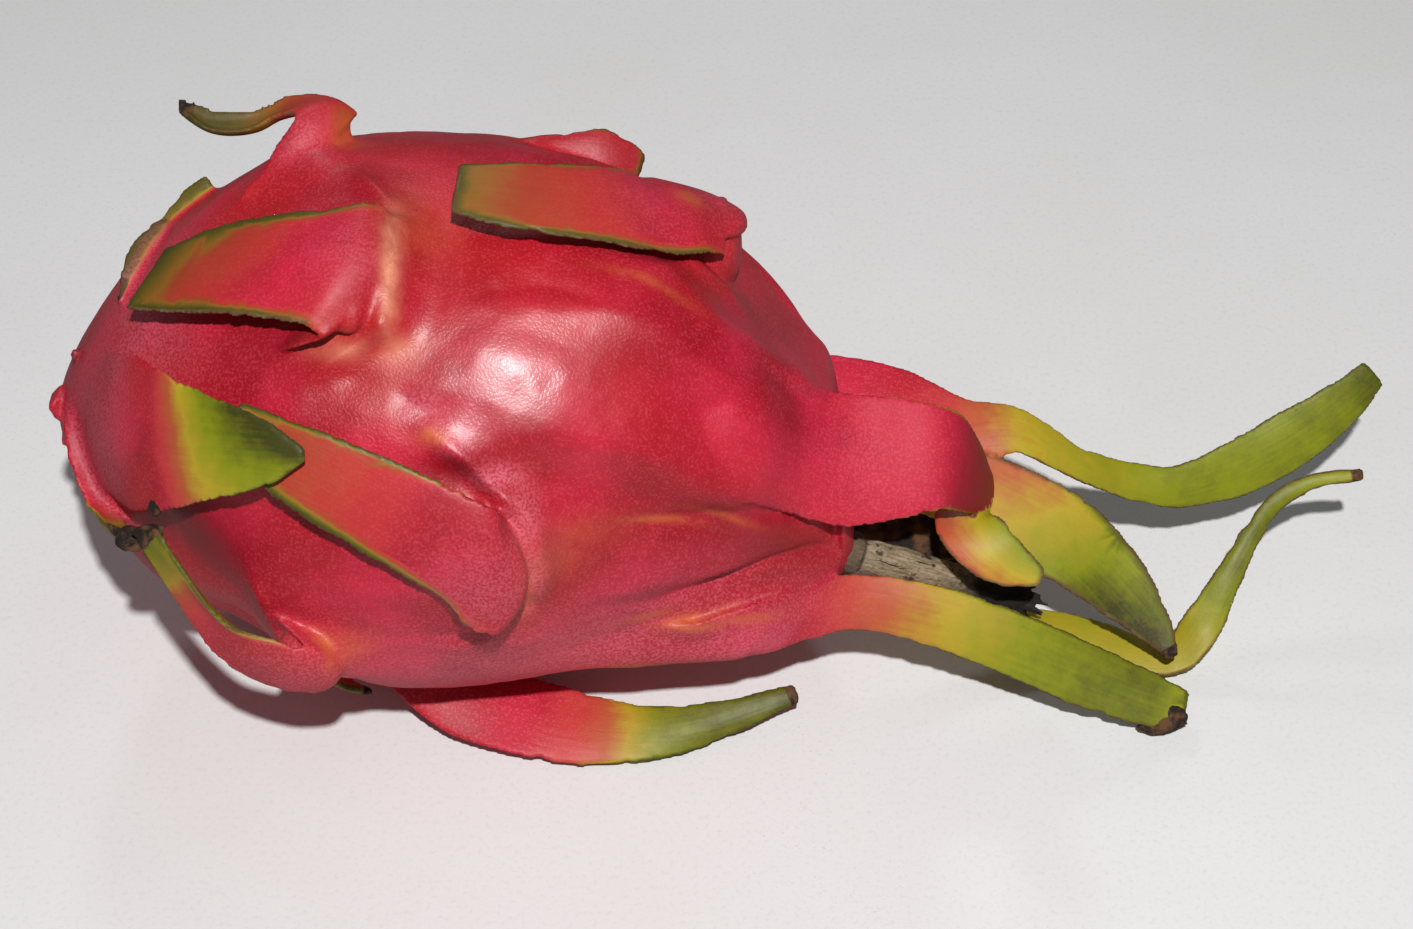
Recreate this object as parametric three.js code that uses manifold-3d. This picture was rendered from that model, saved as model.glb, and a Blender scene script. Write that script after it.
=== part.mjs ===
// A dragon fruit lying on its belly: an egg-shaped body with leathery bracts that grew from its rind,
// and the dried stub of the flower at its tip. Millimetres, +Z up. The stem end is at -X and the
// flower end at +X. Places are given in the fruit's own frame, which ORIGIN then moves so that the
// part stands on z = 0 with its origin under the middle of its bounding box.
import * as THREE from 'three';
import { mergeVertices } from 'three/addons/utils/BufferGeometryUtils.js';
import Module from 'manifold-3d';

const wasm = await Module();
wasm.setup();

// Driving dimensions of the body.
const STEM_X = -103;
const WIDEST_X = -46;
const NECK_X = 22;
const BODY_RADIUS = 43.6;
const AXIS_Y = 1;
const AXIS_Z = 42.2;
const STEM_TAPER = 0.68;
const NECK_TAPER = 0.74;
const BEND_START_X = -22;
const BEND_Y = -15.5;
const BEND_Z = -16.2;
const BODY_ROWS = 34;
const BODY_COLUMNS = 48;

// Driving dimensions of the bracts.
const ROOT_THICKNESS = 3;
const BLADE_THICKNESS = 1.7;
const TIP_THICKNESS = 1.2;
const MARGIN_THICKNESS = 0.8;
const ROOT_SHARE = 1 / 3;
const TIP_SHARE = 0.4;
const BLADE_COLUMNS = 4;
const STEPS_PER_STATION = 2;
const ROOT_DEPTH = 5;
const FOLD_REACH = 12;
const FOLD_HEIGHT = 6;

// Ripple of a blade's margins: height in mm, and turns in radians per station and across the blade.
const RIPPLE_HEIGHT = 0.5;
const RIPPLE_ALONG = 2.1;
const RIPPLE_ACROSS = 1.3;

// Width over which a swelling's flank falls away, how soon it fades towards the poles, and the
// least radius that its width is measured on.
const SWELLING_EDGE = 9;
const SWELLING_FADE = 2.2;
const SWELLING_LEAST_RADIUS = 6;

// The dried flower stub and its socket.
const STUB_START = new THREE.Vector3(20, -14.5, 26.5);
const STUB_END = new THREE.Vector3(50, -15.5, 15);
const STUB_RADIUS = 2.8;
const STUB_COLLAR_RADIUS = 3.3;
const SOCKET_GAP = 0.4;

// The point of the fruit's own frame that becomes the part's origin.
const ORIGIN = new THREE.Vector3(3.7, 1.3, 0);

const radians = THREE.MathUtils.degToRad;
const smooth = (value) => THREE.MathUtils.smoothstep(value, 0, 1);

// The body's axis, bent to the front and down at the neck.
function axisPoint(x) {
  const bend = THREE.MathUtils.clamp((x - BEND_START_X) / (NECK_X - BEND_START_X), 0, 1) ** 2;
  return new THREE.Vector3(x, AXIS_Y + BEND_Y * bend, AXIS_Z + BEND_Z * bend);
}

// Radius of the plain egg at a place along the axis. A taper of 0.5 is an ellipse, and more is a
// more pointed end.
function eggRadius(x) {
  const [reach, taper] = x < WIDEST_X ? [WIDEST_X - STEM_X, STEM_TAPER] : [NECK_X - WIDEST_X, NECK_TAPER];
  const along = Math.min(Math.abs(x - WIDEST_X) / reach, 1);
  return BODY_RADIUS * (1 - along * along) ** taper;
}

// Outward direction at an angle round the axis: 0 is the -Y side, 90 the top, 180 the back.
function outward(around) {
  return new THREE.Vector3(0, -Math.cos(radians(around)), Math.sin(radians(around)));
}

// Direction of growing angle round the axis.
function sideways(around) {
  return new THREE.Vector3(0, Math.sin(radians(around)), Math.cos(radians(around)));
}

// The rind swells below each bract: it rises from the stem side and drops at the bract's axil.
// x and around place the top of the swelling, in mm and degrees.
const SWELLINGS = [
  { x: -48, around: 77, half: 9, height: 2.4, rise: 26, drop: 9 },
  { x: 0, around: 118, half: 9, height: 5.5, rise: 40, drop: 18 },
  { x: -30, around: 19, half: 7, height: 2.4, rise: 28, drop: 9 },
  { x: -57, around: -12, half: 6, height: 2.4, rise: 24, drop: 9 },
  { x: -61, around: 112, half: 6, height: 2.6, rise: 20, drop: 9 },
  { x: -12, around: 155, half: 6, height: 2.4, rise: 26, drop: 9 },
  { x: 16, around: 76, half: 8, height: 9, rise: 60, drop: 30 },
  { x: 16, around: 142, half: 7, height: 9, rise: 50, drop: 30 },
  { x: 14, around: -28, half: 5, height: 8, rise: 52, drop: 30 },
  { x: -34, around: 186, half: 7, height: 2.4, rise: 26, drop: 9 },
  { x: -2, around: 196, half: 7, height: 3.5, rise: 34, drop: 12 },
  { x: 14, around: 235, half: 6, height: 7, rise: 50, drop: 30 },
];

function swelling(x, around) {
  let total = 0;
  for (const bump of SWELLINGS) {
    const turn = ((around - bump.around + 540) % 360) - 180;
    const across = Math.abs(radians(turn)) * Math.max(eggRadius(x), SWELLING_LEAST_RADIUS);
    const before = x - bump.x;
    const along = before < 0 ? smooth(1 + before / bump.rise) : 1 - smooth(before / bump.drop);
    total += (bump.height * along * (1 - smooth((across - bump.half) / SWELLING_EDGE + 0.5))) ** 2;
  }
  return Math.sqrt(total);
}

// A point at a height above the rind.
function onBody(x, around, lift) {
  return axisPoint(x).addScaledVector(outward(around), eggRadius(x) + lift);
}

function solidFrom(positions, triangles) {
  const mesh = new wasm.Mesh({
    numProp: 3,
    vertProperties: new Float32Array(positions),
    triVerts: new Uint32Array(triangles),
  });
  return new wasm.Manifold(mesh);
}

// The body: rings of points from pole to pole, cut level where it rests on the ground.
function bodySolid() {
  const positions = [];
  const triangles = [];
  const addPoint = (point) => {
    positions.push(point.x, point.y, Math.max(point.z, 0));
    return positions.length / 3 - 1;
  };
  const rings = [];
  for (let row = 1; row < BODY_ROWS; row += 1) {
    const angle = Math.PI * (row / BODY_ROWS - 0.5);
    const reach = angle < 0 ? WIDEST_X - STEM_X : NECK_X - WIDEST_X;
    const x = WIDEST_X + reach * Math.sin(angle);
    const fade = smooth(SWELLING_FADE * Math.cos(angle));
    const ring = [];
    for (let column = 0; column < BODY_COLUMNS; column += 1) {
      const around = (360 * column) / BODY_COLUMNS;
      ring.push(addPoint(onBody(x, around, fade * swelling(x, around))));
    }
    rings.push(ring);
  }
  const stemPole = addPoint(axisPoint(STEM_X));
  const neckPole = addPoint(axisPoint(NECK_X));
  for (let column = 0; column < BODY_COLUMNS; column += 1) {
    const next = (column + 1) % BODY_COLUMNS;
    triangles.push(stemPole, rings[0][column], rings[0][next]);
    const last = rings[rings.length - 1];
    triangles.push(neckPole, last[next], last[column]);
    for (let row = 0; row + 1 < rings.length; row += 1) {
      const [a, b] = [rings[row][column], rings[row + 1][column]];
      const [c, d] = [rings[row + 1][next], rings[row][next]];
      triangles.push(a, b, c, a, c, d);
    }
  }
  return solidFrom(positions, triangles);
}

// Linear blend of a station value at a place along the midrib, counted in stations.
function blend(stations, place, read) {
  const first = Math.min(Math.floor(place), stations.length - 2);
  return THREE.MathUtils.lerp(read(stations[first]), read(stations[first + 1]), place - first);
}

// A blade's thickness along its midrib: thick at the root, thin at the tip.
function midribThickness(part) {
  const rootwards = 1 - smooth(part / ROOT_SHARE);
  const tipwards = smooth((part - 1) / TIP_SHARE + 1);
  return BLADE_THICKNESS + (ROOT_THICKNESS - BLADE_THICKNESS) * rootwards
    + (TIP_THICKNESS - BLADE_THICKNESS) * tipwards;
}

// One row of points across a blade, on its inner and its outer face.
function bladeRow(midrib, stations, part, cup) {
  const place = part * (stations.length - 1);
  const centre = midrib.getPoint(part);
  const along = midrib.getTangent(part);
  const side = new THREE.Vector3(
    blend(stations, place, (station) => station.side.x),
    blend(stations, place, (station) => station.side.y),
    blend(stations, place, (station) => station.side.z),
  );
  side.addScaledVector(along, -side.dot(along)).normalize();
  const facing = new THREE.Vector3().crossVectors(side, along);
  const half = blend(stations, place, (station) => station.half);
  const row = [];
  for (let column = 0; column <= BLADE_COLUMNS; column += 1) {
    const across = (2 * column) / BLADE_COLUMNS - 1;
    const margin = across * across;
    const turn = place * RIPPLE_ALONG + across * RIPPLE_ACROSS;
    const ripple = RIPPLE_HEIGHT * smooth(part / ROOT_SHARE) * Math.sin(turn);
    const rise = margin * (cup * half + ripple);
    const depth = THREE.MathUtils.lerp(midribThickness(part), MARGIN_THICKNESS, margin);
    const point = centre.clone().addScaledVector(side, half * across).addScaledVector(facing, rise);
    const inner = point.clone().addScaledVector(facing, depth / 2);
    const outer = point.clone().addScaledVector(facing, -depth / 2);
    row.push({ inner, outer });
  }
  return row;
}

// A bract is a thin blade along its midrib. Each station holds the midrib's point (at), half the
// blade's width there (half) and the direction of its width (side). A positive cup lifts the
// margins towards the inner face. Both faces split alike.
function bladeSolid(stations, cup) {
  const points = stations.map((station) => station.at);
  const midrib = new THREE.CatmullRomCurve3(points, false, 'centripetal');
  const steps = (stations.length - 1) * STEPS_PER_STATION;
  const positions = [];
  const triangles = [];
  const inner = [];
  const outer = [];
  const addPoint = (point) => {
    positions.push(point.x, point.y, point.z);
    return positions.length / 3 - 1;
  };
  for (let step = 0; step <= steps; step += 1) {
    const row = bladeRow(midrib, stations, step / steps, cup);
    inner.push(row.map((pair) => addPoint(pair.inner)));
    outer.push(row.map((pair) => addPoint(pair.outer)));
  }
  const quad = (a, b, c, d) => triangles.push(a, b, c, a, c, d);
  const last = BLADE_COLUMNS;
  for (let step = 0; step < steps; step += 1) {
    const next = step + 1;
    for (let column = 0; column < last; column += 1) {
      const beside = column + 1;
      quad(inner[step][column], inner[step][beside], inner[next][beside], inner[next][column]);
      quad(outer[step][column], outer[next][column], outer[next][beside], outer[step][beside]);
    }
    quad(inner[step][last], outer[step][last], outer[next][last], inner[next][last]);
    quad(outer[step][0], inner[step][0], inner[next][0], outer[next][0]);
  }
  for (let column = 0; column < last; column += 1) {
    const beside = column + 1;
    quad(outer[0][column], outer[0][beside], inner[0][beside], inner[0][column]);
    quad(inner[steps][column], inner[steps][beside], outer[steps][beside], outer[steps][column]);
  }
  return solidFrom(positions, triangles);
}

// A station above the rind: [x, angle round the body, height above the rind, half width]. Skew
// turns the blade's width from round the body to along it, in degrees.
function rindStation([x, around, lift, half], skew) {
  const side = sideways(around).multiplyScalar(Math.cos(radians(skew)));
  side.x -= Math.sin(radians(skew));
  return { at: onBody(x, around, lift), half, side };
}

// A station in space: [x, y, z, half width, roll]. At roll 0 the blade lies level, and roll lifts
// its far margin.
function freeStation([x, y, z, half, roll]) {
  const side = new THREE.Vector3(0, Math.cos(radians(roll)), Math.sin(radians(roll)));
  return { at: new THREE.Vector3(x, y, z), half, side };
}

// A reflexed bract leaves the rind towards the flower end and folds back over the body. Its first
// station is the fold, and the rest run from there towards the stem end.
function reflexedStations([fold, ...rest]) {
  const [x, around, , half] = fold;
  const root = [
    [x - FOLD_REACH, around, -ROOT_DEPTH, half * 0.9],
    [x - FOLD_REACH / 2, around, -1, half],
    [x - 1, around, FOLD_HEIGHT / 4, half],
    [x, around, FOLD_HEIGHT * 0.6, half],
  ];
  return [...root, ...rest].map((station) => rindStation(station, 0));
}

// Bracts that fold back over the rind.
const REFLEXED = [
  {
    name: 'top left',
    cup: 0.05,
    stations: [
      [-47, 74, 0, 11.5], [-50, 74.5, 6, 10.5], [-58, 75.5, 5, 8.8], [-66, 77, 4.5, 8.2],
      [-74.5, 79.5, 4, 7.4], [-83, 82.5, 4.5, 5.4],
    ],
  },
  {
    name: 'top right',
    stations: [
      [3, 114, 0, 9.5], [-1, 110, 8, 9.2], [-9, 101.5, 8, 8.7], [-22, 92.5, 6.5, 7.8],
      [-38, 88.5, 6, 5.8],
    ],
  },
  {
    name: 'front middle',
    stations: [
      [-29.5, 19.5, 0, 9.5], [-32, 22, 6, 9.3], [-39, 26.5, 5.2, 8.5], [-48, 32.5, 4.2, 7.4],
      [-58, 38.5, 4, 6.3], [-68.5, 45, 4, 4.4],
    ],
  },
  {
    name: 'lower left',
    stations: [
      [-57, -6, 0, 6.5], [-61, -3.5, 5.5, 6], [-65.5, 0.5, 6.8, 5], [-70.5, 7, 7.3, 3.9],
      [-76, 14, 7.5, 2.8], [-82, 23, 7, 1.8],
    ],
  },
  {
    name: 'behind top',
    stations: [
      [-13, 150, 0, 8.5], [-16, 147, 3.5, 8], [-21, 143, 3, 7.5], [-27, 139, 2.5, 5],
      [-31, 136, 2, 2.5],
    ],
  },
  {
    name: 'back middle',
    stations: [
      [-34, 186, 0, 10], [-38, 185, 6, 9.5], [-48, 182, 5, 8.5], [-60, 178, 4, 7],
      [-72, 174, 4, 4],
    ],
  },
  {
    name: 'back neck',
    stations: [
      [-2, 196, 0, 9.5], [-6, 197, 7, 9], [-16, 199, 6, 8], [-28, 201, 5, 6.5], [-38, 203, 5, 3.5],
    ],
  },
  {
    name: 'back left',
    stations: [
      [-66, 168, 0, 8.5], [-69, 168, 6, 8], [-75, 168, 5.5, 6.5], [-82, 167, 4, 4],
      [-88, 166, 4, 2],
    ],
  },
];

// Bracts that leave the rind without a fold.
const STANDING = [
  {
    name: 'horn',
    cup: 0.2,
    skew: 60,
    stations: [
      [-70, 98, -4, 8], [-66, 104, -1, 8.5], [-61.5, 111, 1.5, 7.5], [-58.5, 117, 4, 5.2],
      [-61, 119.5, 6, 4], [-66, 119, 6.5, 3], [-73, 118.5, 8.5, 2.2], [-81, 118, 15, 1.8],
    ],
  },
  {
    name: 'stem end tip',
    stations: [
      [-93, 42, -3, 10], [-86, 42, 0.5, 12], [-80.5, 41.5, 3, 10.6], [-74, 41.5, 4.5, 8.2],
      [-68, 41.5, 5.5, 6.6], [-62, 41.5, 6.5, 4.4], [-58, 41.5, 7, 1.4],
    ],
  },
  {
    name: 'stem end side',
    cup: 0.3,
    skew: 70,
    stations: [
      [-95, 64, -4, 3.5], [-94.5, 48, 0, 4], [-92.5, 33, 2.2, 4.2], [-89, 23, 4, 4],
      [-85.5, 17, 6, 3.2], [-82.5, 19, 7.5, 2.4],
    ],
  },
  {
    name: 'stem end back',
    skew: 40,
    stations: [
      [-76, 136, -3.5, 4.5], [-78.5, 124, -0.5, 5], [-81, 110, 1.5, 4.5], [-84, 96, 2.2, 3.2],
      [-87.5, 80, 2.2, 1.2],
    ],
  },
  {
    name: 'upper left tip',
    stations: [
      [-93, 160, -3, 4], [-87, 152, 0.5, 4.5], [-81, 144, 1.2, 3.6], [-76, 136, 2.2, 1.4],
    ],
  },
  {
    name: 'under left',
    stations: [
      [-80, -50, -3, 6], [-72, -52, 1.5, 6.5], [-64, -53, 2.5, 5], [-56, -53, 3.5, 2],
    ],
  },
];

// Bracts of the neck, which reach past the body.
const FREE = [
  {
    name: 'neck top',
    stations: [
      [-4, -13, 59, 9, 40], [5, -13.5, 56, 10, 40], [14, -13.5, 51.5, 10.3, 40],
      [23, -12.5, 48.3, 10.2, 40], [31, -12.2, 46.8, 10, 40], [36.5, -12.8, 45.4, 9.6, 40],
      [39.5, -14, 42, 8.6, 40], [41, -16.5, 37.5, 7.2, 35], [44.5, -19.5, 33.5, 5.4, 30],
      [50.5, -23, 29.5, 1.5, 30],
    ],
  },
  {
    name: 'neck back long',
    stations: [
      [4, 8, 33, 8, 20], [16, 7.5, 34, 8, 20], [27, 6, 34, 7, 20], [38, 3, 34, 6, 20],
      [48, 1.5, 33, 5.2, 20], [58, 2.5, 28, 4.6, 25], [66, 4, 22.5, 3.6, 40],
      [75, 4.5, 19.5, 3.8, 50], [86, 8, 19.5, 5, 50], [96, 12.5, 22.5, 5.1, 50],
      [104, 17, 26, 4, 50], [108.5, 20.5, 28.5, 2.8, 50],
    ],
  },
  {
    name: 'neck leaf',
    stations: [
      [12, -6, 31, 4, 40], [24, -3, 32, 5, 40], [35, -4, 31, 6, 40], [45, -6.5, 28, 6.5, 40],
      [55, -9, 23.5, 6.6, 40], [63.5, -12.5, 17, 5.6, 40], [70.5, -18, 11, 3.2, 40],
      [73.5, -21.5, 8, 1.2, 40],
    ],
  },
  {
    name: 'neck low thin',
    stations: [
      [10, -12, 16, 4, 20], [28, -13.5, 11, 3.6, 20], [44, -14.2, 6.3, 4.2, 20],
      [58, -14.5, 3.4, 4.2, 10], [70, -17.5, 2.2, 3.8, 10], [76, -17.5, 3.2, 3.4, 20],
      [79.8, -14, 7, 3.4, 40], [83, -9.8, 11.5, 2.4, 40], [87.5, -3.5, 17, 1.7, 40],
      [91.5, 0.5, 20, 1.6, 40], [97, 2.5, 22.5, 1.4, 40], [104.5, 2.5, 24.5, 1, 40],
    ],
  },
  {
    name: 'neck front long',
    stations: [
      [-14, -24, 25, 6, 50], [-2, -24.5, 24, 6, 50], [10, -23.5, 23, 5, 50],
      [22, -22, 22.5, 4.5, 50], [34, -23, 20.5, 5, 50], [46.5, -25, 16, 5.2, 50],
      [59.5, -27, 9.5, 5.2, 40], [70, -28.5, 5.2, 4.5, 30], [75, -29, 3.5, 3.2, 30],
    ],
  },
  {
    name: 'ground front',
    stations: [
      [-50, -22, 9, 6, 20], [-40, -28, 5.5, 7, 15], [-30, -31, 4, 7, 10], [-20, -33, 3.3, 6, 10],
      [-10, -33.5, 3.3, 4.5, 20], [0, -31.5, 3.7, 3.2, 30], [12.5, -27.5, 5.5, 1.8, 30],
    ],
  },
];

const bracts = [
  ...REFLEXED.map(({ stations, cup = 0 }) => bladeSolid(reflexedStations(stations), cup)),
  ...STANDING.map(({ stations, cup = 0, skew = 0 }) => (
    bladeSolid(stations.map((station) => rindStation(station, skew)), cup)
  )),
  ...FREE.map(({ stations, cup = 0 }) => bladeSolid(stations.map(freeStation), cup)),
];

// The stub: a turned woody stalk with a collar at its joint.
function stubGeometry(grow) {
  const length = STUB_START.distanceTo(STUB_END);
  const profile = [
    [0, 0], [STUB_RADIUS, 0], [STUB_RADIUS, 2], [STUB_COLLAR_RADIUS, 2.6], [STUB_COLLAR_RADIUS, 4.4],
    [STUB_RADIUS, 5.2], [STUB_RADIUS * 0.95, length * 0.5], [STUB_RADIUS * 1.02, length * 0.75],
    [STUB_RADIUS * 0.8, length - 1], [0, length],
  ];
  const points = profile.map(([radius, along]) => new THREE.Vector2(radius > 0 ? radius + grow : 0, along));
  points[0].y -= grow;
  points[1].y -= grow;
  points[points.length - 1].y += grow;
  const geometry = new THREE.LatheGeometry(points, 12);
  const direction = STUB_END.clone().sub(STUB_START).normalize();
  geometry.applyQuaternion(new THREE.Quaternion().setFromUnitVectors(new THREE.Vector3(0, 1, 0), direction));
  geometry.translate(STUB_START.x, STUB_START.y, STUB_START.z);
  return geometry;
}

function solidFromGeometry(geometry) {
  geometry.deleteAttribute('normal');
  geometry.deleteAttribute('uv');
  const merged = mergeVertices(geometry, 1e-3);
  return solidFrom(merged.attributes.position.array, merged.index.array);
}

function meshFromSolid(name, solid, material) {
  const { vertProperties, triVerts } = solid.getMesh();
  const geometry = new THREE.BufferGeometry();
  geometry.setAttribute('position', new THREE.Float32BufferAttribute(vertProperties, 3));
  geometry.setIndex(new THREE.Uint32BufferAttribute(triVerts, 1));
  geometry.translate(-ORIGIN.x, -ORIGIN.y, -ORIGIN.z);
  geometry.computeVertexNormals();
  const mesh = new THREE.Mesh(geometry, material);
  mesh.name = name;
  return mesh;
}

function fruitSolid() {
  const fruit = bracts.reduce((solid, bract) => solid.add(bract), bodySolid());
  return fruit.subtract(solidFromGeometry(stubGeometry(SOCKET_GAP)));
}

const rind = new THREE.MeshStandardMaterial({ color: 0xc9264f, roughness: 0.45, metalness: 0 });
const driedWood = new THREE.MeshStandardMaterial({ color: 0x8c7d66, roughness: 0.9, metalness: 0 });

const dragonFruit = new THREE.Group();
dragonFruit.add(meshFromSolid('fruit', fruitSolid(), rind));
dragonFruit.add(meshFromSolid('dried_flower', solidFromGeometry(stubGeometry(0)), driedWood));

export default dragonFruit;
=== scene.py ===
"""A dragon fruit lying on its belly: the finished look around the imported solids.

Places are given in mm in the fruit's own frame: the stem end is at -X, the flower end at +X and the
ground at z = 0. ORIGIN moves them to the part's frame, and MM turns them into metres.
"""
import math

import bpy
import numpy as np
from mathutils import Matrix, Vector
from mathutils.kdtree import KDTree


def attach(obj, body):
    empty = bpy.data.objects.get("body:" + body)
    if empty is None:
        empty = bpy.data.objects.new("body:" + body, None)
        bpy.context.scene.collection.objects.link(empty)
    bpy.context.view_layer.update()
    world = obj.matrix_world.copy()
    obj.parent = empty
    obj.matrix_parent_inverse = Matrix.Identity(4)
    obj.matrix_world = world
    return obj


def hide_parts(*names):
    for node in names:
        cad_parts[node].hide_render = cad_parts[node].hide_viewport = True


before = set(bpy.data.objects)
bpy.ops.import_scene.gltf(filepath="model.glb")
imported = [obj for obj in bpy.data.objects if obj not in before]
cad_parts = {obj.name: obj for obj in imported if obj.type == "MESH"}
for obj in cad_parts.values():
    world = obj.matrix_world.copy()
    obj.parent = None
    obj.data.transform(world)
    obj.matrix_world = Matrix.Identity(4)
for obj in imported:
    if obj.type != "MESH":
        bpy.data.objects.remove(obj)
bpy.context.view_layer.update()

MM = 0.001
ORIGIN = np.array([3.7, 1.3, 0.0])

# The body, as in the part's source.
STEM_X = -103.0
WIDEST_X = -46.0
NECK_X = 22.0
BODY_RADIUS = 43.6
AXIS_Y = 1.0
AXIS_Z = 42.2
STEM_TAPER = 0.68
NECK_TAPER = 0.74
BEND_START_X = -22.0
BEND_Y = -15.5
BEND_Z = -16.2
SWELLING_EDGE = 9.0
SWELLING_FADE = 2.2
LEAST_RADIUS = 6.0
NECK_SLIM_X = 3.0
NECK_SLIM_REACH = 15.0
SEAM_ROUNDING = 0.6
SEAM_FADE = 0.4
AXIL_AHEAD = 0.5
AXIL_LENGTH = 3.2
AXIL_EDGE = 4.0
BODY_ROWS = 300
BODY_COLUMNS = 400
POLE_RADIUS = 16.0

# The bracts, as in the part's source, with a fuller root and a rounder margin.
ROOT_THICKNESS = 4.2
BLADE_THICKNESS = 1.9
TIP_THICKNESS = 1.3
MARGIN_THICKNESS = 1.0
ROOT_SHARE = 0.42
TIP_SHARE = 0.4
ROOT_DEPTH = 5.0
FOLD_REACH = 12.0
FOLD_HEIGHT = 6.0
FOLD_STATION = 3
HIGH_STAND = 5.0
HIGH_STAND_ROOT = 0.72
BOW_REACH = 9.0
GROWN_SHARE = 0.4
BLADE_LOOP = 56
ROUGH_STEPS = 40
FLUTTER_LENGTH = 3.75
RIPPLE_LENGTH = 3.1
ROLL_LENGTH = 15.0
NICKS = 5
CAP_ANGLES = (0.5, 1.0, 1.35)
STEP_LENGTH = 0.6
LEAST_STEPS = 24
SQUARE_POWER = 0.45
PILLOW_LENGTH = 4.8
PILLOW_BEHIND = 4.6

# The mesh of the rind.
VOXEL = 0.45
FILLET_REACH = 2.6
FILLET_ROUNDS = 14
FILLET_PULLS = (0.5,)
SKIN_ROUNDS = 3
SKIN_PULLS = (0.5, -0.52)
MOST_TRIANGLES = 192000

# The dried flower stub.
STUB_START = np.array([20.0, -14.5, 26.5])
STUB_END = np.array([50.0, -15.5, 15.0])
STUB_ROOT = -4.0
STUB_ROWS = 150
STUB_COLUMNS = 80
STUB_VOXEL = 0.2
STUB_SPIKES = 18
STUB_TURN = 2.7
STUB_WORN_LENGTH = 6.0
SPIKE_RADII = (0.55, 0.4, 0.18)
FIBRE_RADIUS = 0.16

# The camera and the lights.
LENS = 70.0
SENSOR = 36.0
CAMERA_ELEVATION = 50.0
CAMERA_DISTANCE = 440.0
CAMERA_TARGET = np.array([-1.5, 0.0, 30.0])
ROOM_LIGHT = 0.10
ROOM_GLOSS = 0.06
PAPER_BUMP = 0.0001
LAMP_AIM = Vector((0.0, 0.0, 0.03))


def smooth(value):
    """The smooth step from 0 to 1."""
    part = np.clip(value, 0.0, 1.0)
    return part * part * (3.0 - 2.0 * part)


def axis_yz(x):
    """The body's axis, bent to the front and down at the neck."""
    bend = np.clip((x - BEND_START_X) / (NECK_X - BEND_START_X), 0.0, 1.0) ** 2
    return AXIS_Y + BEND_Y * bend, AXIS_Z + BEND_Z * bend


def end_share(x):
    """How far a place is from the widest part to a pole, from -1 to 1."""
    reach = np.where(x < WIDEST_X, WIDEST_X - STEM_X, NECK_X - WIDEST_X)
    return np.clip((x - WIDEST_X) / reach, -1.0, 1.0)


def egg_radius(x):
    taper = np.where(x < WIDEST_X, STEM_TAPER, NECK_TAPER)
    return BODY_RADIUS * np.maximum(1.0 - end_share(x) ** 2, 0.0) ** taper


def angle_from(around, middle):
    """The angle from one place round the axis to another, from -180 to 180 degrees."""
    return (around - middle + 540.0) % 360.0 - 180.0


def arc_from(x, around, middle):
    """The same along the rind, in mm."""
    return np.radians(angle_from(around, middle)) * np.maximum(egg_radius(x), LEAST_RADIUS)


# Swellings of the rind below the bracts: x, angle round the axis, half width, height, and how far
# they rise from the stem side and drop at the axil.
SWELLINGS = [
    (-48, 77, 9, 2.4, 26, 9), (-2, 108, 9, 5, 40, 16), (-30, 19, 7, 2.4, 28, 9),
    (-57, -12, 6, 2.4, 24, 9), (-61, 112, 6, 2.6, 20, 9), (-12, 155, 6, 2.4, 26, 9),
    (16, 76, 8, 9, 60, 30), (14, -28, 5, 8, 52, 30),
    (-34, 186, 7, 2.4, 26, 9), (-2, 196, 7, 3.5, 34, 12), (14, 235, 6, 7, 50, 30),
    (-4, 56, 12, 4.4, 42, 20),
]

# The far shoulder of the neck, which keeps its full height: the same values.
SHOULDER = (20, 142, 9, 16, 34, 30)

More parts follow.
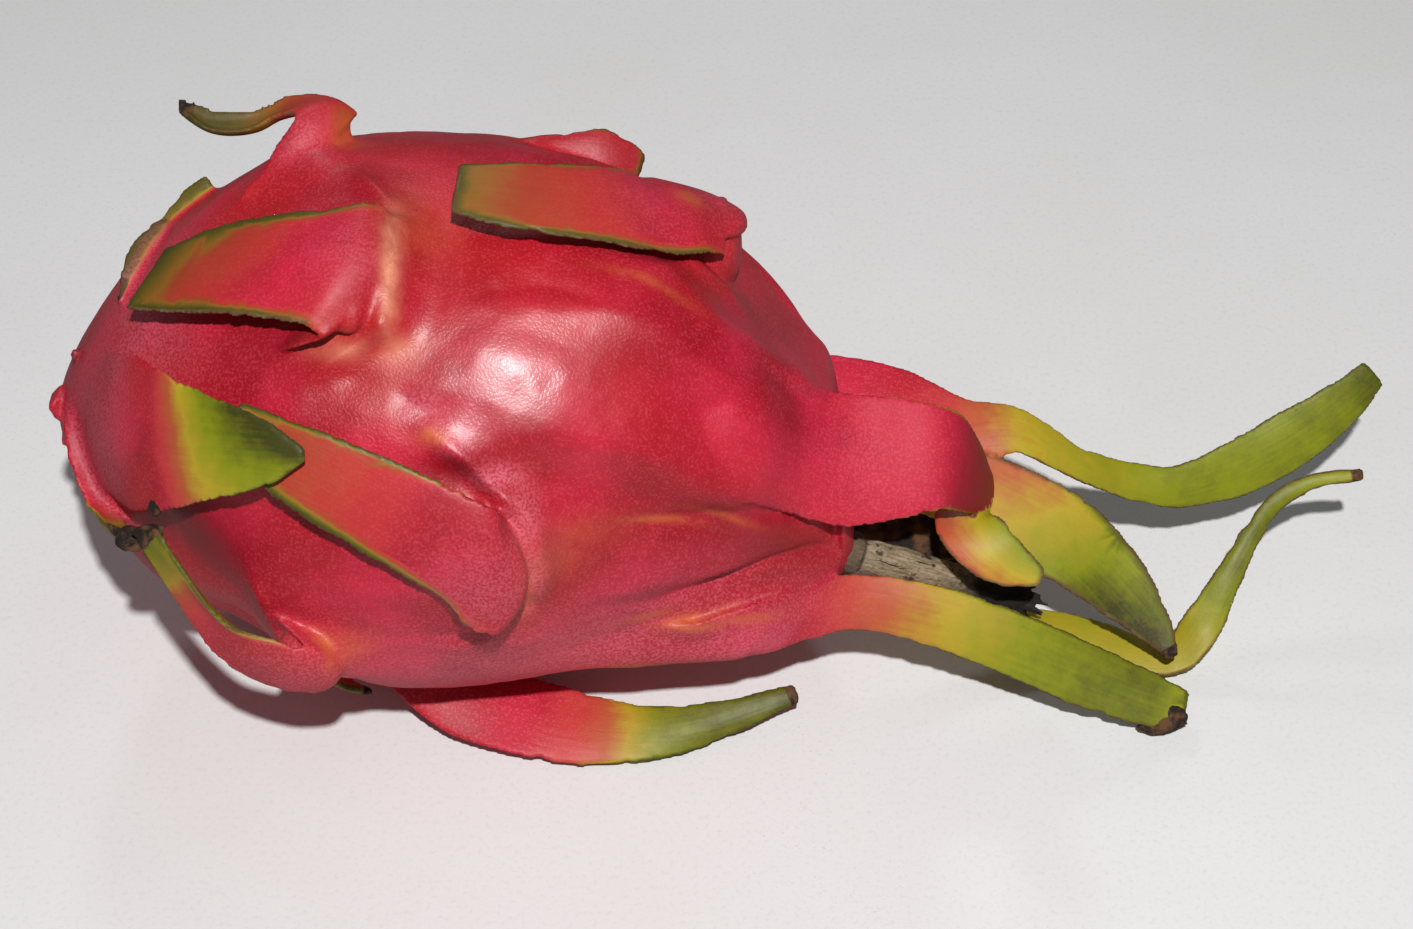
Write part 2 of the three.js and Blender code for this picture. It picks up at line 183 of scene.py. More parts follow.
# Ridges and creases of the rind: height (negative for a crease), half width, and points of x and
# angle. The first end stands full, and the last one fades out.
SEAMS = [
    (2.0, 1.4, [(2, 100), (-4, 94), (-11, 78), (-15, 71)]),
    (2.4, 1.4, [(-30, 32), (-35, 39), (-39.5, 43.5), (-44, 49)]),
    (-0.9, 1.2, [(-31, 28), (-35, 33), (-39, 38), (-42, 43)]),
    (-0.7, 1.2, [(-29, 6), (-33, 0), (-37, -2), (-43, -1), (-50, -2), (-56, -4)]),
    (0.8, 1.6, [(-30, 3), (-34, -4), (-39, -6), (-46, -6)]),
    (1.8, 1.6, [(-47.5, 63), (-53, 59), (-57, 56), (-62, 50)]),
    (1.4, 1.5, [(-48, 92), (-51.5, 99), (-55.5, 105)]),
    (1.6, 2.6, [(13, 93), (6.5, 86), (2, 82), (-2.5, 81), (-8, 87)]),
    (0.8, 2.4, [(6, 42), (0, 35), (-7, 30), (-14, 27)]),
    (-1.5, 1.3, [(13, 43), (6.2, 34), (-4.5, 25), (-14, 22), (-23, 21)]),
    (-2.2, 1.4, [(17, 24), (12.8, 16), (6.6, 6), (-1.3, -5), (-9, -6), (-16, -2), (-23, 3)]),
    (1.7, 1.3, [(-27.8, 31), (-25.4, 24), (-24.6, 15), (-25.6, 6), (-29, -2)]),
    (1.8, 1.4, [(-65, -6), (-66.5, 2), (-68, 11), (-70, 20)]),
    (-0.5, 1.2, [(-18, 71), (-25.3, 73), (-33.7, 71), (-38, 70)]),
    (-0.6, 1.2, [(-44, 51), (-41, 48), (-38, 50), (-35, 55)]),
    (1.8, 1.5, [(-34, 201), (-40, 205), (-47, 208)]),
    (1.8, 1.5, [(-35, 171), (-41, 167), (-48, 164)]),
    (1.8, 1.5, [(-3, 216), (-9, 220), (-16, 222)]),
    (1.8, 1.5, [(-3, 178), (-9, 175), (-16, 173)]),
    (1.4, 1.5, [(-66, 206), (-71, 210), (-76, 212)]),
    (1.4, 1.5, [(-66, 178), (-71, 175), (-76, 173)]),
    (1.5, 1.5, [(-13, 137), (-19, 133), (-25, 131)]),
    (-1.2, 1.6, [(16, 262), (8, 262), (-4, 264), (-16, 268)]),
    (-1.2, 1.6, [(17, 175), (9, 176), (0, 178)]),
]

# Hollows of the rind: x, angle, half length, half width and depth.
HOLLOWS = [
    (-37, 37, 5, 2.6, 0.6),
    (-81, 10, 7, 7, 3.0),
    (-71, -26, 9, 13, 6.0),
    (1, -4, 9, 3, 1.4),
    (-64, 26, 8, 7, 1.2),
    (-51, 55, 6, 4, 0.8),
    (-27, 56, 12, 15, -1.2),
]

# The flat far side of the neck: the angle it faces, its half width as an angle, where it runs, and how
# its distance from the axis grows from its lowest place.
FLAT_ANGLE = 109
FLAT_HALF = 31
FLAT_EDGE = 5.0
FLAT_START = -6
FLAT_START_FADE = 8.0
FLAT_END = 22
FLAT_END_FADE = 5.5
FLAT_LEVEL = 24.8
FLAT_LOWEST_X = 18.0
FLAT_GROWTH = 0.0195
FLAT_NARROWING = 1.2
FLAT_NARROWS_FROM = (5.0, 13.0)


def swelling(x, around):
    """How far the rind swells below the bracts. The swellings end where the neck bracts stand free."""
    total = 0.0
    slim = 1.0 - smooth((x - NECK_SLIM_X) / NECK_SLIM_REACH)
    for row in SWELLINGS + [SHOULDER]:
        top_x, top_around, half, height, rise, drop = row
        across = np.abs(arc_from(x, around, top_around))
        before = x - top_x
        along = np.where(before < 0, smooth(1.0 + before / rise), 1.0 - smooth(before / drop))
        flank = 1.0 - smooth((across - half) / SWELLING_EDGE + 0.5)
        kept = 1.0 if row is SHOULDER else slim
        total = total + (height * along * flank * kept) ** 2
    return np.sqrt(total)


def seam_relief(x, around):
    """Height of all ridges and creases at places on the rind."""
    radius = np.maximum(egg_radius(x), LEAST_RADIUS)
    total = np.zeros_like(x)
    for height, width, points in SEAMS:
        closest = np.full_like(x, 1e9)
        share = np.zeros_like(x)
        count = len(points) - 1
        for index in range(count):
            (x0, a0), (x1, a1) = points[index], points[index + 1]
            dx = x - x0
            dy = arc_from(x, around, a0)
            ex = x1 - x0
            ey = np.radians(a1 - a0) * radius
            part = np.clip((dx * ex + dy * ey) / (ex * ex + ey * ey), 0.0, 1.0)
            away = np.hypot(dx - part * ex, dy - part * ey)
            closer = away < closest
            closest = np.where(closer, away, closest)
            share = np.where(closer, (index + part) / count, share)
        crest = np.exp(-(np.sqrt(closest ** 2 + SEAM_ROUNDING ** 2) - SEAM_ROUNDING) / width)
        total = total + height * crest * (1.0 - smooth(share * (1.0 + SEAM_FADE) - SEAM_FADE))
    return total


def hollow_relief(x, around):
    total = np.zeros_like(x)
    for place_x, place_around, long, wide, depth in HOLLOWS:
        dx = (x - place_x) / long
        dy = arc_from(x, around, place_around) / wide
        total = total - depth * np.exp(-(dx * dx + dy * dy))
    return total


def unit(vectors):
    return vectors / np.linalg.norm(vectors, axis=-1, keepdims=True)


def waves(points, length, seed):
    """Gentle uneven waves of about one length, from -1 to 1, the same on every run."""
    chance = np.random.default_rng(seed)
    count = 14
    heading = unit(chance.normal(size=(count, 3)))
    stretch = chance.uniform(0.6, 1.6, count)[:, None]
    phase = chance.uniform(0.0, math.tau, count)
    turns = points @ (heading * stretch).T * (math.tau / length) + phase
    return np.sin(turns).sum(1) / math.sqrt(count) * 0.7


def body_radius(x, around):
    """Distance from the axis to the rind."""
    share = end_share(x)
    fade = smooth(SWELLING_FADE * np.sqrt(np.maximum(1.0 - share ** 2, 0.0)))
    radius = egg_radius(x) + fade * swelling(x, around)
    aside = angle_from(around, FLAT_ANGLE)
    level = FLAT_LEVEL + FLAT_GROWTH * (FLAT_LOWEST_X - x) ** 2
    level = level / np.maximum(np.cos(np.radians(aside)), 0.3)
    low = FLAT_HALF
    for narrow_x in FLAT_NARROWS_FROM:
        low = low - FLAT_NARROWING * np.maximum(x - narrow_x, 0.0)
    flat = 1.0 - smooth((aside - FLAT_HALF) / FLAT_EDGE + 0.5)
    flat = flat * (1.0 - smooth((-aside - low) / FLAT_EDGE + 0.5))
    flat = flat * smooth((x - FLAT_START) / FLAT_START_FADE)
    flat = flat * (1.0 - smooth((x - FLAT_END + FLAT_END_FADE) / FLAT_END_FADE))
    radius = radius + (level - radius) * flat
    return radius + fade * (seam_relief(x, around) + hollow_relief(x, around) + axil_relief(x, around))


def axil_relief(x, around):
    """Flesh that fills the corner between the rind and the far side of each fold."""
    total = np.zeros_like(x)
    for bract in REFLEXED:
        fold_x, fold_around, _, half = bract["stations"][0]
        across = np.abs(arc_from(x, around, fold_around))
        along = (x - fold_x - AXIL_AHEAD) / AXIL_LENGTH
        flank = 1.0 - smooth((across - half + AXIL_EDGE / 2.0) / AXIL_EDGE + 0.5)
        total = total + bract["flesh"] * np.exp(-along * along) * flank
    return total


def on_body(x, around, lift):
    """A point at a height above the plain egg."""
    axis_y, axis_z = axis_yz(np.float64(x))
    radius = egg_radius(np.float64(x)) + lift
    angle = math.radians(around)
    return np.array([x, axis_y - math.cos(angle) * radius, axis_z + math.sin(angle) * radius])


def place_on_body(points):
    """x, angle round the axis and height above the rind of points in space."""
    x = points[:, 0]
    axis_y, axis_z = axis_yz(x)
    dy = points[:, 1] - axis_y
    dz = points[:, 2] - axis_z
    around = np.degrees(np.arctan2(dz, -dy))
    inside = np.clip(x, STEM_X, NECK_X)
    lift = np.hypot(dy, dz) - body_radius(inside, around)
    return x, around, lift


# Bracts that fold back over the rind. A station is x, angle, height above the egg and half width.
# ripe holds how green each station is: 0 pink, 0.25 red, 0.45 orange, 0.6 yellow, 0.8 light green
# and 1 dark green. slant makes the upper margin greener, and band is how far the green runs in from
# the lower and the upper margin, in mm. cup lifts both margins by a share of the half width, shear
# moves the upper margin on by some mm and the lower one back, and bow rounds the end of the fold.
# flesh is how thick the flesh in the fold's far corner is, and stand raises the fold off the rind.
REFLEXED = [
    dict(name="top left", flesh=1.8, dull=0.9, band=(1.6, 2.4), wave=0.15, slant=0.1, bow=2.0,
         cup=[-0.22, -0.2, -0.06, 0.04, 0.06, 0.06], shear=[3.5, 3.5, 3.2, 2.6, 2, 1.6],
         ripe=[0, 0, 0.02, 0.2, 0.34, 0.95],
         stations=[(-47.5, 74, 0, 11), (-51.5, 74.5, 6, 10), (-60, 75.5, 5, 8.8), (-67, 77, 4.5, 8.2),
                   (-75, 79.5, 4, 7.4), (-83, 82.5, 4.5, 5.4)]),
    dict(name="top right", flesh=0.0, dull=0.9, band=(1.7, 1.5), wave=0.12, stand=12, bow=2.0,
         cup=[-0.28, -0.28, -0.2, -0.12, -0.05, 0, 0], ripe=[0, 0, 0, 0.03, 0.2, 0.4, 0.7],
         stations=[(3.8, 112, 0, 7.4), (0.6, 111.5, 13.3, 8.9), (-4, 105, 10.4, 9.2), (-8.3, 99, 8.2, 9),
                   (-17.6, 91, 7.3, 7.6), (-28.2, 88.3, 6.8, 6.8), (-37, 89, 6, 5.1)]),
    dict(name="front middle", flesh=0.3, dull=0.75, band=(2.7, 1.3), wave=0.15, stand=1.2, bow=2.8,
         cup=[-0.28, -0.26, -0.08, 0, 0, 0], shear=[-1.5, -1.5, -0.8, 0, 0, 0],
         ripe=[0, 0, 0, 0.16, 0.34, 0.42],
         stations=[(-28, 18.5, 0, 10.2), (-31.2, 21, 6.8, 10), (-39, 26.5, 5.2, 8.5), (-48, 32.5, 4.2, 7.4),
                   (-58, 38.5, 4, 6.3), (-68.5, 45, 4, 4.4)]),
    dict(name="lower left", flesh=0.8, dull=0.5, band=(0.7, 1.4), wave=0.8, bow=3.0,
         cup=[-0.2, -0.2, -0.1, 0.1, 0.3, 0.3, 0.3], ripe=[0, 0, 0, 0.03, 0.15, 0.7, 0.85],
         stations=[(-56.5, -8, 0, 7), (-60.5, -7, 5.5, 7), (-66, -4.8, 6.5, 6.4), (-71, -0.6, 7, 5.2),
                   (-75, 6.2, 7, 4.1), (-79, 13.2, 7, 3.2), (-82.5, 18.8, 6.5, 2.2)]),
    dict(name="back middle", flesh=1.0, dull=0.5, band=(2.5, 2.5), wave=0.5, bow=3.0,
         cup=[-0.2, -0.2, 0, 0, 0], ripe=[0, 0, 0.05, 0.4, 0.95],
         stations=[(-34, 186, 0, 10), (-38, 185, 6, 9.5), (-48, 182, 5, 8.5), (-60, 178, 4, 7),
                   (-72, 174, 4, 4)]),
    dict(name="back neck", flesh=1.0, dull=0.3, band=(2.5, 2.5), wave=0.5, bow=3.0,
         cup=[-0.2, -0.2, 0, 0, 0], ripe=[0, 0, 0.05, 0.45, 0.95],
         stations=[(-2, 196, 0, 9.5), (-6, 197, 7, 9), (-16, 199, 6, 8), (-28, 201, 5, 6.5),
                   (-38, 203, 5, 3.5)]),
    dict(name="back left", flesh=1.0, dull=0.6, band=(2, 2), wave=0.4, bow=2.5, cup=[-0.2, -0.2, 0, 0, 0],
         ripe=[0, 0, 0.1, 0.5, 0.95],
         stations=[(-66, 192, 0, 8.5), (-69, 192, 6, 8), (-75, 191, 5.5, 6.5), (-82, 189, 4, 4),
                   (-88, 187, 4, 2)]),
]

# Bracts that leave the rind without a fold. skew turns the blade's width to run along the body.
STANDING = [
    dict(name="stem end tip", dull=0.1, band=(1.0, 1.0), wave=0.12, slant=0.16,
         ripe=[0, 0, 0.06, 0.66, 0.85, 0.94, 1],
         stations=[(-93, 42, -3, 10), (-86, 42, 0.5, 12), (-80.5, 41.5, 3, 10.6), (-74, 41.5, 4.5, 8.2),
                   (-68, 41.5, 5.5, 6.6), (-62, 41.5, 6.5, 4.4), (-58, 41.5, 7, 1.4)]),
    dict(name="stem end side", cup=0.5, skew=70, dull=0.5, band=(0.6, 0.6), wave=0.4,
         ripe=[0, 0, 0.05, 0.1, 0.7, 0.9],
         stations=[(-98, 60, -4, 2), (-97, 36, -1, 2.4), (-95, 16, 0.3, 2.6), (-92.3, 6, 1.8, 2.6),
                   (-90, 8, 4, 2.2), (-87.8, 12, 5, 1.6)]),
    dict(name="under left", dull=0.7, band=(1.5, 1.5), wave=0.4, ripe=[0, 0.2, 0.7, 0.95],
         stations=[(-68, -46, -3, 3.5), (-63, -46, 0, 3.4), (-58.5, -46, 1.6, 2.4), (-55, -46, 2, 1.2)]),
]

# Bracts placed in space: those of the neck, those that show past the crest, and the one that touches the
# ground. A station is x, y, z, half width, roll and yaw: roll lifts the far margin, and yaw turns the
# width along the body. Where a station leaves them out, they are as in FREE_TURNS. shade darkens the red
# of each station. A skewed blade keeps its width as given, without squaring it.
FREE_TURNS = (40, 0)
FREE = [
    dict(name="horn", dull=0.95, band=(0.7, 0.7), wave=0.25, skewed=True,
         cup=[0, -0.1, -0.15, -0.2, 0.5, 0.9, 0.9, 0.9, 0.8, 0.7],
         ripe=[0, 0, 0, 0.1, 0.5, 0.75, 0.85, 0.9, 0.9, 1],
         stations=[(-62.5, 15.8, 76.2, 10.5, 16, 52), (-62.5, 15.5, 81.4, 11, 12, 48),
                   (-60.2, 18.4, 83.6, 8.4, 2, 50), (-59.1, 23.2, 85.3, 4.6, -31, 58),
                   (-65.6, 25.5, 82.6, 2.4, 0, 15), (-69.3, 23.9, 81.4, 2, 5, 0), (-73, 23.4, 81, 2, 5, 0),
                   (-76.2, 23.6, 81.2, 2.1, 5, 0), (-79.1, 24.6, 82, 2.2, 5, -10),
                   (-80.9, 25.5, 82.8, 1.7, 5, -25)]),
    dict(name="behind top", dull=0.9, band=(0.6, 0.9), wave=0.7, ripe=[0, 0, 0.08, 0.1, 0.1, 0.12],
         shade=[0.2, 0.3, 0.35, 0.35, 0.35, 0.4],
         stations=[(-34, 26, 74.8, 1), (-28, 25.2, 75.4, 2), (-23, 24.6, 75.2, 3), (-18, 24.6, 74.8, 4.2),
                   (-14.5, 24.6, 73.4, 4), (-12, 24.6, 71.9, 2.5)]),
    dict(name="upper left tip", dull=0.7, band=(0.8, 0.8), wave=0.4, ripe=[0.7, 0.8, 0.86, 0.92],
         stations=[(-86.5, 14.6, 64.3, 1.8, 40, -30), (-83.8, 16.6, 66.9, 2.6, 40, -30),
                   (-80.3, 18.8, 69.3, 3, 40, -35), (-77.3, 20.5, 71.2, 2.5, 40, -40)]),
    dict(name="stem end back", dull=1.0, band=(0.8, 0.8), wave=0.5, cup=0.2, ripe=[0.6, 0.8, 0.85, 0.9, 1],
         stations=[(-81, 17, 64, 2, 40, -60), (-83.4, 14.6, 67.8, 2.8, 40, -60),
                   (-85.4, 10.3, 69, 3, 40, -62), (-87.2, 5.5, 68.4, 2.5, 40, -64),
                   (-88.4, 1, 66.5, 1.8, 40, -66)]),
    dict(name="neck top", dull=0.2, band=(0.7, 0.7), wave=0.2, crease=5,
         cup=[0.1, 0.16, 0.2, 0.1, 0.02, 0, 0, 0.05, 0.1, 0.1],
         ripe=[0, 0, 0, 0, 0, 0, 0.02, 0.05, 0.05, 0.05], shade=[0, 0, 0, 0, 0, 0.05, 0.55, 0.9, 1, 1],
         stations=[(-4, -20.3, 65.1, 9), (5, -19.3, 61.5, 11), (13, -15.4, 52.4, 10),
                   (20, -13.9, 47.7, 10.3), (27, -12.3, 46.2, 9.6), (33.5, -11.6, 45.1, 8.4),
                   (36.3, -11.2, 43.7, 7.6), (39.2, -10.5, 40.3, 6.6), (41.6, -9.4, 36.4, 5.2),
                   (43.2, -8.2, 32.6, 3.8)]),
    dict(name="neck top end", dull=0.05, band=(0.1, 0.1), wave=0.3, slant=0.2,
         ripe=[0.45, 0.5, 0.54, 0.6, 0.66, 0.7],
         stations=[(40, -8.5, 32, 3.8, 40, 85), (38.6, -12.5, 32.8, 4.4, 40, 84),
                   (39.2, -16.5, 34, 5, 40, 72), (42.2, -19.8, 33.2, 4.9, 40, 50),
                   (46.2, -21.7, 31.3, 3.8, 40, 40), (50, -22.6, 30, 1.6, 40, 38)]),
    dict(name="neck back long", dull=0.05, band=(1, 1), wave=0.2,
         ripe=[0, 0, 0, 0.25, 0.58, 0.66, 0.74, 0.8, 0.8, 0.82, 0.86, 0.95],
         stations=[(4, 8, 33, 8, 20), (16, 8.5, 35, 8.8, 20), (27, 7.3, 35, 7.8, 20),
                   (38, 3.3, 34.2, 6.2, 20), (48, 3.2, 34.5, 4, 20), (58, 2.3, 27.8, 2.8, 25),
                   (66, 3.7, 22.1, 3), (75, 4.3, 19.2, 3.5, 50), (86, 8, 19.5, 5, 50),
                   (96, 12.5, 22.5, 5.1, 50), (104, 17, 26, 4, 50), (108.5, 20.5, 28.5, 2.8, 50)]),
    dict(name="neck leaf", dull=0.1, band=(4.2, 4.2), wave=0.2, cup=-0.16, slant=-0.12,
         ripe=[0.2, 0.3, 0.4, 0.52, 0.68, 0.86, 0.97, 1],
         stations=[(12, -6, 31, 4), (24, -3, 32, 5), (35, -4, 31, 6), (45, -6.5, 28, 7),
                   (55, -9.3, 23.2, 7.4), (63.5, -12.8, 16.8, 6), (70.5, -18, 11, 3.2),
                   (73.5, -21.5, 8, 1.2)]),
    # A dark bract that fills the gap under the neck top: its black-brown colour is painted shade.
    dict(name="neck inner", dull=1.0, band=(0.8, 0.8), wave=0.4, ripe=[0, 0.2, 0.5, 0.9], shade=[1, 1, 1, 1],
         stations=[(10, -8, 28, 5), (22, -6, 26, 6), (32, -6.5, 23, 6), (42, -8, 19, 3.5)]),
    dict(name="neck low thin", dull=0.1, band=(0.8, 0.8), wave=0.4,
         ripe=[0.3, 0.55, 0.62, 0.68, 0.66, 0.66, 0.72, 0.85, 0.9, 0.86, 0.8, 0.7],
         stations=[(10, -12, 16, 4, 20), (28, -13.5, 11, 3.6, 20), (44, -14.2, 6.3, 4.2, 20),
                   (58, -14.5, 3.4, 4.2, 10), (70, -17.5, 2.2, 3.8, 10), (76, -17.5, 3.2, 3.4, 20),
                   (79.8, -14, 7, 3.4), (83, -9.8, 11.5, 2.4), (87.5, -3.5, 17, 1.7), (91.5, 0.5, 20, 1.6),
                   (97, 2.5, 22.5, 1.4), (104.5, 2.5, 24.5, 1)]),
    dict(name="neck front long", dull=0.12, band=(0.6, 1.6), wave=0.18,
         ripe=[0, 0, 0, 0.1, 0.3, 0.56, 0.76, 0.86, 0.88, 0.72],
         stations=[(-14, -31.4, 26, 7, 110), (-2.5, -31, 25, 7.4, 108), (7, -29.7, 26, 5.9, 82),
                   (14, -25.6, 24.8, 5, 65), (22, -22.3, 23, 4.5, 50), (34, -23, 20.5, 5, 50),
                   (46.5, -25, 16, 5.2, 50), (59.5, -27, 9.5, 5.2), (70, -28.5, 5.2, 4.5, 30),
                   (75, -29, 3.5, 3.2, 30)]),
    dict(name="ground front", dull=0.2, band=(1.2, 0.8), wave=0.5, ripe=[0, 0, 0.05, 0.25, 0.8, 0.9, 0.95],
         stations=[(-50, -22, 9, 6, 20), (-40, -28, 5.5, 7, 15), (-30, -31, 4, 7, 10),
                   (-20, -33, 3.3, 6, 10), (-10, -33.5, 3.3, 4.5, 20), (0, -31.5, 3.7, 3.2, 30),
                   (12.5, -27.5, 5.5, 1.6, 30)]),
]


def rind_station(station, skew):
    x, around, lift, half = station
    angle = math.radians(around)
    level = math.cos(math.radians(skew))
    side = np.array([-math.sin(math.radians(skew)), math.sin(angle) * level, math.cos(angle) * level])
    return on_body(x, around, lift), side, half


def standing_stations(bract):
    return [rind_station(row, bract.get("skew", 0)) for row in bract["stations"]]


def reflexed_stations(bract):
    """The root inside the rind, the fold and the blade that lies back over the rind."""
    stand = bract.get("stand", 0)
    x, around, _, half = bract["stations"][0]
    root_half = half * (HIGH_STAND_ROOT if stand > HIGH_STAND else 1.0)
    root = [
        (x - FOLD_REACH, around, -ROOT_DEPTH, half * 0.9),
        (x - FOLD_REACH / 2, around, -1 + stand / 2, root_half),
        (x - 1, around, FOLD_HEIGHT / 4 + stand, root_half),
        (x, around, FOLD_HEIGHT * 0.6 + stand, half),
    ]
    return [rind_station(row, 0) for row in root + bract["stations"][1:]]


def free_stations(bract):
    """Stations placed in space. Roll and yaw turn the blade's width."""
    stations = []
    for row in bract["stations"]:
        x, y, z, half, roll, yaw = row + FREE_TURNS[len(row) - 4:]
        angle = math.radians(roll)
        level = math.cos(math.radians(yaw))
        side = np.array([math.sin(math.radians(yaw)), math.cos(angle) * level, math.sin(angle) * level])
        stations.append((np.array([x, y, z]), side, half))
    return stations


def centripetal(points, place):
    """Points on the centripetal Catmull-Rom curve through the stations, at places counted in them."""
    before = 2.0 * points[0] - points[1]
    after = 2.0 * points[-1] - points[-2]
    ring = np.vstack([before, points, after])
    found = []
    for value in place:
        index = min(int(value), len(points) - 2)
        part = value - index
        p0, p1, p2, p3 = ring[index:index + 4]
        d0 = np.linalg.norm(p1 - p0) ** 0.5
        d1 = np.linalg.norm(p2 - p1) ** 0.5
        d2 = np.linalg.norm(p3 - p2) ** 0.5
        t1 = ((p1 - p0) / d0 - (p2 - p0) / (d0 + d1) + (p2 - p1) / d1) * d1
        t2 = ((p2 - p1) / d1 - (p3 - p1) / (d1 + d2) + (p3 - p2) / d2) * d1
        square, cube = part * part, part ** 3
        found.append(
            p1 + t1 * part
            + (-3.0 * p1 + 3.0 * p2 - 2.0 * t1 - t2) * square
            + (2.0 * p1 - 2.0 * p2 + t1 + t2) * cube
        )
    return np.array(found)


def soften(values, rounds):
    """Rounds off the corners of values along a line, and keeps its ends."""
    values = values.copy()
    for _ in range(rounds):
        values[1:-1] = (values[:-2] + 2.0 * values[1:-1] + values[2:]) / 4.0
    return values


def make_blade(bract, stations, added, seed):
    """The rings of one bract, with what its colours need along it. added counts its extra root stations."""
    at = np.array([station[0] for station in stations])
    side = np.array([station[1] for station in stations])
    half = np.array([station[2] for station in stations], float)
    count = len(stations)
    rough = centripetal(at, np.linspace(0, count - 1, ROUGH_STEPS * (count - 1) + 1))
    lengths = np.linalg.norm(np.diff(rough, axis=0), axis=1)
    steps = max(int(lengths.sum() / STEP_LENGTH), LEAST_STEPS)
    arc = np.concatenate([[0.0], np.cumsum(lengths)])
    run = np.linspace(0, arc[-1], steps + 1)
    place = np.interp(run, arc, np.linspace(0, count - 1, len(rough)))
    centre = centripetal(at, place)

    def along_blade(values, rounds):
        return soften(np.interp(place, np.arange(count), values), rounds)

    def given(key, rounds):
        value = bract.get(key, 0.0)
        values = [value] * count if isinstance(value, (int, float)) else [value[0]] * added + value
        return along_blade(values, rounds)

    along = unit(np.gradient(centre, axis=0))
    sides = np.stack([along_blade(side[:, k], 12) for k in range(3)], 1)
    if "skewed" not in bract:
        sides -= (sides * along).sum(1)[:, None] * along
    sides = unit(sides)
    part = place / (count - 1)
    rootwards = 1.0 - smooth(part / ROOT_SHARE)
    tipwards = smooth((part - 1.0) / TIP_SHARE + 1.0)
    thick = BLADE_THICKNESS + (ROOT_THICKNESS - BLADE_THICKNESS) * rootwards
    thick += (TIP_THICKNESS - BLADE_THICKNESS) * tipwards
    fold_run = np.interp(FOLD_STATION, place, run)
    chance = np.random.default_rng(seed)
    return {
        "slant": 0.0, **bract, "seed": seed, "phase": chance.uniform(0, math.tau, 6),
        "centre": centre, "side": sides, "facing": unit(np.cross(sides, along)), "along": along,
        "half": along_blade(half, 12), "thick": thick, "part": part, "run": run,
        "green": given("ripe", 6), "shade": given("shade", 8),
        "cup": given("cup", 12), "shear": given("shear", 12),
        "bow": bract.get("bow", 0.0) * np.exp(-((run - fold_run) / BOW_REACH) ** 2),
        "crease_run": np.interp(bract["crease"], place, run) if "crease" in bract else -99.0,
    }


def blade_rise(blade, across, index):
    """Height of the blade's middle surface over its midrib, towards the inner face."""
    run = blade["run"][index]
    grown = smooth(blade["part"][index] / GROWN_SHARE)
    phase = blade["phase"]
    flutter = np.sin(run / FLUTTER_LENGTH + phase[0] + 1.5 * across)
    flutter = flutter + 0.6 * np.sin(run / RIPPLE_LENGTH + phase[1] - across)
    low = np.sin(run / ROLL_LENGTH + phase[2])
    cup = blade["cup"][index] * blade["half"][index]
    return across * across * (cup + blade["wave"] * grown * (flutter * 0.55 + 0.5 * low))


def blade_shift(blade, across, index):
    """How far a place on a ring is moved along X."""
    return blade["shear"][index] * across - blade["bow"][index] * across * across


def margin_cut(blade, sign):
    """How far the margin is worn back along one side, in mm."""
    run = blade["run"]
    phase = blade["phase"]
    worn = 0.07 * np.sin(run * 0.7 + phase[3] * sign) + 0.03 * np.sin(run * 1.7 + phase[4] + sign)
    chance = np.random.default_rng(blade["seed"] * 7 + sign)
    for _ in range(NICKS):
        middle = chance.uniform(0.3, 0.98) * run[-1]
        width = chance.uniform(0.5, 1.3)
        depth = chance.uniform(0.1, 0.4)
        worn = worn + depth * np.exp(-((run - middle) / width) ** 2)
    return smooth(blade["part"] / 0.45) * worn


def tube_faces(rows, columns, flipped=False):
    """Faces of a closed tube of rings. Its two end points come after the points of the rings."""
    grid = np.arange(rows * columns).reshape(rows, columns)
    beside = np.roll(grid, -1, axis=1)
    first = np.full(columns, rows * columns)
    if flipped:
        quads = [grid[:-1], grid[1:], beside[1:], beside[:-1]]
        ends = [[first, grid[0], beside[0]], [first + 1, beside[-1], grid[-1]]]
    else:
        quads = [grid[:-1], beside[:-1], beside[1:], grid[1:]]
        ends = [[first, beside[0], grid[0]], [first + 1, grid[-1], beside[-1]]]
    return [np.stack(quads, -1).reshape(-1, 4), np.vstack([np.stack(end, -1) for end in ends])]


